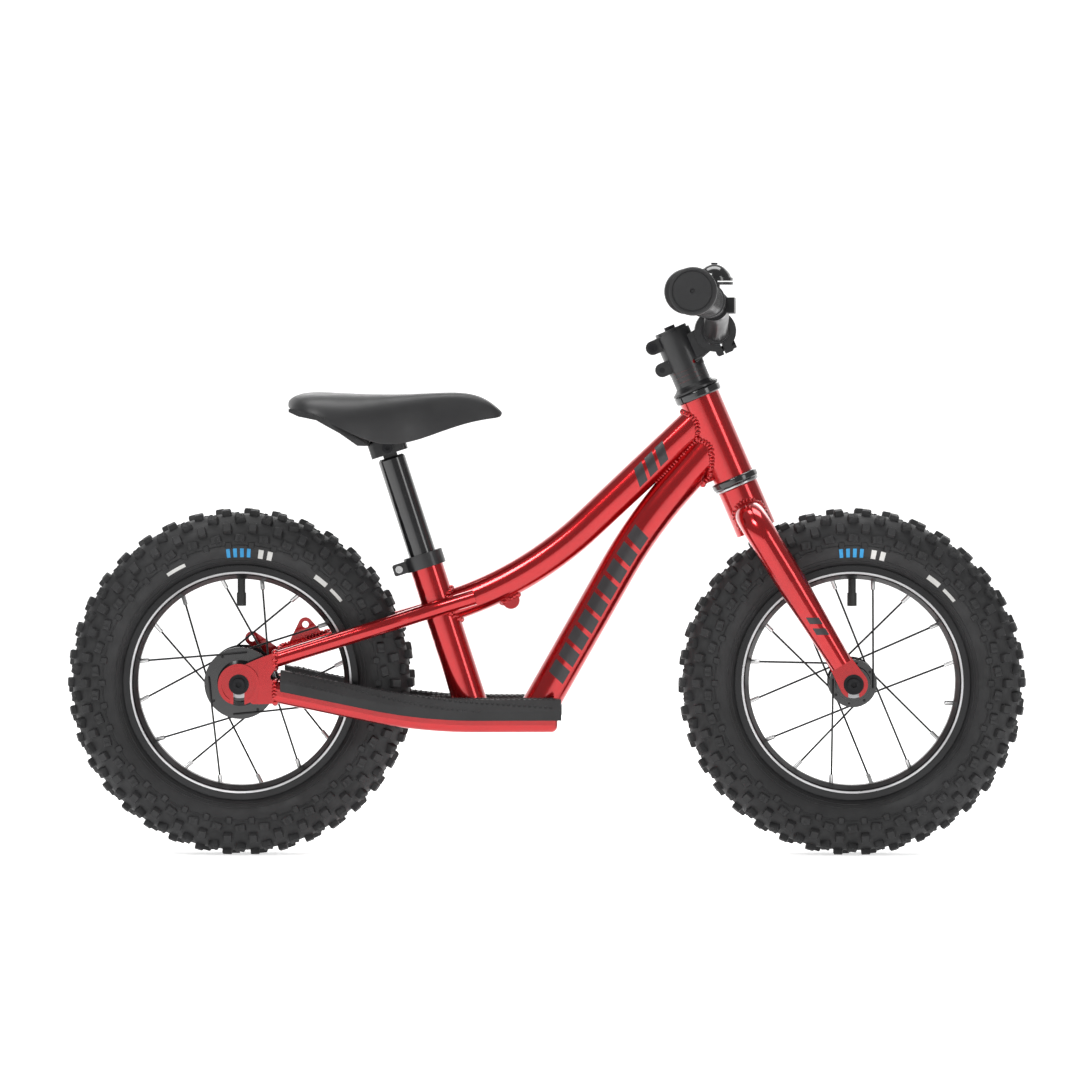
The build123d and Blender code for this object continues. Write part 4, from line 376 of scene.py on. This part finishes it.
def saddle():
    """The cover, as a closed form through cross sections along the pad."""
    low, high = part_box("saddle_pad")
    length, half, tall = high.x - low.x, (high.y - low.y) / 2, high.z - low.z
    along = [0.0, 0.03, 0.08, 0.15, 0.23, 0.33, 0.43, 0.53, 0.63, 0.73, 0.83, 0.91, 0.965, 1.0]
    wide = [0.42, 0.70, 0.90, 0.985, 1.0, 0.93, 0.76, 0.57, 0.42, 0.345, 0.30, 0.262, 0.20, 0.09]
    top = [0.82, 0.93, 0.985, 0.995, 0.985, 0.97, 0.965, 0.965, 0.975, 0.99, 0.985, 0.90, 0.75, 0.62]
    edge = [0.70, 0.67, 0.61, 0.52, 0.38, 0.17, 0.02, 0.02, 0.12, 0.27, 0.40, 0.47, 0.50, 0.53]
    bm = bmesh.new()
    rings = []
    for t, w, z1, z0 in zip(along, wide, top, edge):
        ring = []
        for k in range(-SADDLE_STEPS, SADDLE_STEPS + 1):
            a = k / SADDLE_STEPS
            y = math.sin(abs(a) * math.pi / 2) ** 0.80 * w * half * math.copysign(1, a)
            drop = 1 - abs(math.sin(abs(a) * math.pi / 2)) ** 3.2
            z = z0 + (z1 - z0) * drop ** 0.62
            dip = 0.03 * math.exp(-((a / 0.25) ** 2)) * math.exp(-(((t - 0.42) / 0.35) ** 2))
            ring.append(bm.verts.new((low.x + t * length, y, low.z + tall * (z - dip))))
        for k in range(SADDLE_STEPS - 2, -SADDLE_STEPS + 1, -4):
            a = k / SADDLE_STEPS
            y = math.sin(abs(a) * math.pi / 2) ** 0.80 * (w * half - 0.0025) * math.copysign(1, a)
            lift = 0.0035 + 0.004 * (1 - abs(a))
            ring.append(bm.verts.new((low.x + t * length * 0.998, y, low.z + tall * z0 + lift)))
        rings.append(ring)
    count = len(rings[0])
    for a, b in zip(rings, rings[1:]):
        for k in range(count):
            bm.faces.new((a[k], a[(k + 1) % count], b[(k + 1) % count], b[k]))
    bm.faces.new(list(reversed(rings[0])))
    bm.faces.new(rings[-1])
    bmesh.ops.recalc_face_normals(bm, faces=bm.faces)
    mesh = bpy.data.meshes.new("saddle_cover")
    bm.to_mesh(mesh)
    bm.free()
    mesh.shade_smooth()
    obj = make_object("saddle_cover", mesh, "saddle_cover", "saddle", "saddle_pad")
    sub = obj.modifiers.new("smooth", "SUBSURF")
    sub.levels = sub.render_levels = 2


saddle()


# ---------------------------------------------------------------- grips
def line_of(name):
    """The middle, direction and length of a long node, from its own corners."""
    points = np.array([v.co for v in nodes[name].data.vertices])
    middle = (points.min(0) + points.max(0)) / 2
    _, vectors = np.linalg.eigh(np.cov((points - middle).T))
    way = vectors[:, -1]
    spread = (points - middle) @ way
    middle = middle + way * (spread.min() + spread.max()) / 2
    return Vector(middle), Vector(way).normalized(), float(spread.max() - spread.min())


FLANGE_R = 0.0216
FLANGE = 0.007
BODY_R = 0.0141
BORE_R = 0.0113
RIB_PITCH = 0.0036
RIB_RISE = 0.0007

for side_name in ("left", "right"):
    middle, way, length = line_of("grip_" + side_name)
    if way.y * (1 if side_name == "left" else -1) < 0:
        way = -way
    place = Matrix.Translation(middle - way * length / 2) @ way.to_track_quat("Z", "Y").to_matrix().to_4x4()
    profile = [
        (BORE_R, 0), (0.0152, 0), (0.0158, 0.0006), (0.0158, 0.0036), (0.0150, 0.0042), (BODY_R, 0.0046),
    ]
    z = 0.007
    while z < length - FLANGE - 0.006:
        rib_r = BODY_R + RIB_RISE
        profile += [(BODY_R, z), (rib_r, z + 0.0004), (rib_r, z + 0.0018), (BODY_R, z + 0.0022)]
        z += RIB_PITCH
    end = length - FLANGE
    profile += [
        (BODY_R + 0.0006, end - 0.003), (BODY_R + 0.003, end - 0.0008),
        (FLANGE_R - 0.001, end), (FLANGE_R, end + 0.001), (FLANGE_R, end + FLANGE - 0.0014),
        (FLANGE_R - 0.0012, length - 0.0002), (FLANGE_R - 0.003, length),
        (FLANGE_R - 0.0033, length - 0.0007), (FLANGE_R - 0.0041, length - 0.0007),
        (FLANGE_R - 0.0044, length),
        (0.0022, length + 0.0001), (0.0016, length - 0.0012), (0.0001, length - 0.0014),
    ]
    bm = bmesh.new()
    lathe(bm, profile, place, 72)
    mesh = finish_mesh(bm, "grip")
    make_object("grip_rubber_" + side_name, mesh, "grip_rubber", "handlebar", "grip_" + side_name)


# ---------------------------------------------------------------- weld beads
def weld(name, joined, body, finish="frame_paint", bead=0.0031, pitch=0.0027):
    """A row of overlapping weld ripples where the outside of one node meets the other."""
    tree = tree_of(joined)
    points = []
    for v in nodes[name].data.vertices:
        spot, _, _, gap = tree.find_nearest(v.co)
        if gap is not None and gap < 0.0005:
            points.append(np.array(v.co))
    if len(points) < 8:
        return
    points = np.array(points)
    middle = points.mean(0)
    _, vectors = np.linalg.eigh(np.cov((points - middle).T))
    u, w = vectors[:, 2], vectors[:, 1]
    flat = np.stack([(points - middle) @ u, (points - middle) @ w], 1)
    angles = np.arctan2(flat[:, 1], flat[:, 0])
    reach = np.hypot(flat[:, 0], flat[:, 1])
    bins = {}
    for k, (angle, far) in enumerate(zip(angles, reach)):
        cell = int((angle + math.pi) / (2 * math.pi) * 72) % 72
        if cell not in bins or reach[bins[cell]] < far:
            bins[cell] = k
    loop = [points[bins[c]] for c in sorted(bins)]
    if len(loop) < 8:
        return
    path = []
    for a, b in zip(loop, loop[1:] + loop[:1]):
        gap = np.linalg.norm(b - a)
        if gap > 0.02:
            continue
        pieces = max(1, int(gap / 0.0005))
        path += [a + (b - a) * k / pieces for k in range(pieces)]
    bm = bmesh.new()
    last = None
    for k, spot in enumerate(path):
        if last is not None and np.linalg.norm(spot - last) < pitch:
            continue
        ahead = path[(k + 3) % len(path)] - spot
        if np.linalg.norm(ahead) < 1e-6 or np.linalg.norm(ahead) > 0.01:
            continue
        last = spot
        turn = Vector(ahead).normalized().to_track_quat("Z", "Y").to_matrix().to_4x4()
        place = Matrix.Translation(Vector(spot)) @ turn @ Matrix.Diagonal((bead, bead, bead * 0.55, 1))
        bmesh.ops.create_uvsphere(bm, u_segments=12, v_segments=8, radius=1.0, matrix=place)
    if not bm.verts:
        bm.free()
        return
    mesh = bpy.data.meshes.new("weld")
    bm.to_mesh(mesh)
    bm.free()
    mesh.shade_smooth()
    make_object(f"weld_{name}_{joined}", mesh, finish, body)


for name, joined in (
    ("top_tube", "head_tube"), ("down_tube", "head_tube"), ("top_tube", "down_tube"),
    ("top_tube", "seat_tube"), ("upper_stay_left", "top_tube"), ("upper_stay_right", "top_tube"),
    ("upper_stay_left", "dropout_left"), ("upper_stay_right", "dropout_right"),
    ("lower_stay_left", "dropout_left"), ("lower_stay_right", "dropout_right"),
    ("seat_tube", "footrest_deck"), ("down_tube", "footrest_deck"), ("cable_boss", "top_tube"),
    ("disc_mount", "upper_stay_left"), ("head_gusset", "down_tube"),
):
    weld(name, joined, "frame")
for side_name in ("left", "right"):
    weld("fork_leg_" + side_name, "fork_crown", "fork")


# ---------------------------------------------------------------- plain marks
def decal(name, node, corners, finish, body, sides=(1, -1)):
    """A thin patch laid on a node from each side, between four (x, z) corners."""
    tree = tree_of(node)
    bm = bmesh.new()
    a, b, c, d = [Vector(p) for p in corners]
    for side in sides:
        grid = []
        for i in range(15):
            column = []
            for j in range(7):
                lower = a.lerp(b, i / 14)
                upper = d.lerp(c, i / 14)
                spot = lower.lerp(upper, j / 6)
                start = Vector((spot.x, side * 1.0, spot.y))
                hit, normal, _, _ = tree.ray_cast(start, Vector((0, -side, 0)))
                if hit is None or normal.y * side < 0.05:
                    column.append(None)
                else:
                    column.append(bm.verts.new(hit + normal * 0.00018))
            grid.append(column)
        for p, q in zip(grid, grid[1:]):
            for j in range(6):
                four = (p[j], p[j + 1], q[j + 1], q[j])
                if None not in four:
                    bm.faces.new(four)
    if bm.faces:
        make_object(name, finish_mesh(bm, name), finish, body)
    else:
        bm.free()


def slanted(middle, way, along, across, slant=0.0):
    """Four corners of a slanted bar about a point, given its own direction."""
    way = Vector(way).normalized()
    side = Vector((-way.y, way.x))
    middle = Vector(middle)
    return [
        middle - way * along / 2 - side * across / 2 - way * slant,
        middle + way * along / 2 - side * across / 2 - way * slant,
        middle + way * along / 2 + side * across / 2 + way * slant,
        middle - way * along / 2 + side * across / 2 + way * slant,
    ]


def tube_middle(name, share):
    """The middle of a tube in the side view at a share of its height, and its direction there."""
    low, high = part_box(name)
    tree = tree_of(name)
    spots = []
    for s in (share - 0.03, share + 0.03):
        z = low.z + (high.z - low.z) * s
        hits = [
            x for x in np.linspace(low.x, high.x, 400)
            if tree.ray_cast(Vector((x, 1, z)), Vector((0, -1, 0)))[0] is not None
        ]
        spots.append(Vector(((min(hits) + max(hits)) / 2, z)))
    return (spots[0] + spots[1]) / 2, (spots[1] - spots[0]).normalized()


for k in range(9):
    middle, way = tube_middle("down_tube", 0.14 + 0.062 * k)
    decal(f"down_tube_block_{k}", "down_tube", slanted(middle, way, 0.0135, 0.017, 0.002), MARK, "frame")
for k in range(3):
    middle, way = tube_middle("top_tube", 0.70 + 0.05 * k)
    decal(f"top_tube_block_{k}", "top_tube", slanted(middle, way, 0.010, 0.016, 0.004), MARK, "frame")
for side_name, side in (("left", 1), ("right", -1)):
    for k in range(2):
        middle, way = tube_middle("fork_leg_" + side_name, 0.34 + 0.055 * k)
        corners = slanted(middle, way, 0.007, 0.010, 0.003)
        decal(f"fork_block_{side_name}_{k}", "fork_leg_" + side_name, corners, MARK, "fork", (side,))


# ---------------------------------------------------------------- footrest studs
for side_name, side in (("left", 1), ("right", -1)):
    name = "footrest_pad_" + side_name
    tree = tree_of(name)
    low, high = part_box(name)
    bm = bmesh.new()
    rows = int((high.x - low.x) / 0.0048)
    for i in range(2, rows - 1):
        for j in range(7):
            x = low.x + (high.x - low.x) * (i + 0.5 * (j % 2)) / rows
            y = low.y + (high.y - low.y) * (j + 0.5) / 7
            hit, normal, _, _ = tree.ray_cast(Vector((x, y, high.z + 0.05)), Vector((0, 0, -1)))
            if hit is None or normal.z < 0.5:
                continue
            place = Matrix.Translation(hit) @ normal.to_track_quat("Z", "Y").to_matrix().to_4x4()
            lathe(bm, [(0.0014, -0.0003), (0.0013, 0.0004), (0.0009, 0.0008), (0.0001, 0.0009)], place, 10)
    make_object("footrest_studs_" + side_name, finish_mesh(bm, "studs"), "footrest_rubber", "frame")


# ---------------------------------------------------------------- studio
def plain(name, colour, rough, grain):
    """A finish without wear, for the studio."""
    return surface(name, colour, rough, grain=grain, bump=0.01, mottle=0.0, wear=0.0)


bm = bmesh.new()
arc = [(-9.0, 0.0), (3.0, 0.0), (3.8, 0.12), (4.6, 0.5), (5.2, 1.1), (5.6, 2.0), (5.7, 3.2), (5.7, 7.0)]
columns = [[bm.verts.new((x, y, z)) for y, z in arc] for x in (-9.0, 9.0)]
for k in range(len(arc) - 1):
    bm.faces.new((columns[0][k], columns[1][k], columns[1][k + 1], columns[0][k + 1]))
mesh = finish_mesh(bm, "floor")
white = plain("studio_white", (0.93, 0.93, 0.93), 0.8, 60.0)
white.node_tree.nodes["Principled BSDF"].inputs["Emission Color"].default_value = (1, 1, 1, 1)
white.node_tree.nodes["Principled BSDF"].inputs["Emission Strength"].default_value = 0.62
mesh.materials.append(white)
floor = bpy.data.objects.new("floor", mesh)
bpy.context.scene.collection.objects.link(floor)


def light(name, place, aim, size, power):
    """An area light at a place, turned to its aim."""
    data = bpy.data.lights.new(name, "AREA")
    data.shape = "RECTANGLE"
    data.size, data.size_y = size
    data.energy = power
    obj = bpy.data.objects.new(name, data)
    bpy.context.scene.collection.objects.link(obj)
    obj.location = place
    obj.rotation_euler = (Vector(aim) - Vector(place)).to_track_quat("-Z", "Y").to_euler()


light("key", (-1.4, -2.2, 2.8), (0, 0, 0.25), (1.2, 0.8), 42)
light("fill", (2.4, -2.2, 1.2), (0, 0, 0.3), (0.8, 1.8), 14)
light("top", (0.0, 0.3, 2.6), (0, 0, 0), (2.4, 1.0), 38)
light("back", (0.4, 2.4, 1.6), (0, 0, 0.3), (2.6, 0.8), 16)

world = bpy.data.worlds.new("studio")
bpy.context.scene.world = world
world.use_nodes = True
world.node_tree.nodes["Background"].inputs["Color"].default_value = (1, 1, 1, 1)
world.node_tree.nodes["Background"].inputs["Strength"].default_value = 0.30
bpy.context.scene.view_settings.view_transform = "Standard"
bpy.context.scene.view_settings.look = "None"

camera_data = bpy.data.cameras.new("camera")
camera_data.lens = 236.0
camera_data.sensor_width = 36.0
camera_data.clip_end = 50.0
camera = bpy.data.objects.new("camera", camera_data)
bpy.context.scene.collection.objects.link(camera)
camera.location = (0.0434, -6.5, 0.515)
camera.rotation_euler = (Vector((-0.0061, 0, 0.2888)) - camera.location).to_track_quat("-Z", "Y").to_euler()
bpy.context.scene.camera = camera
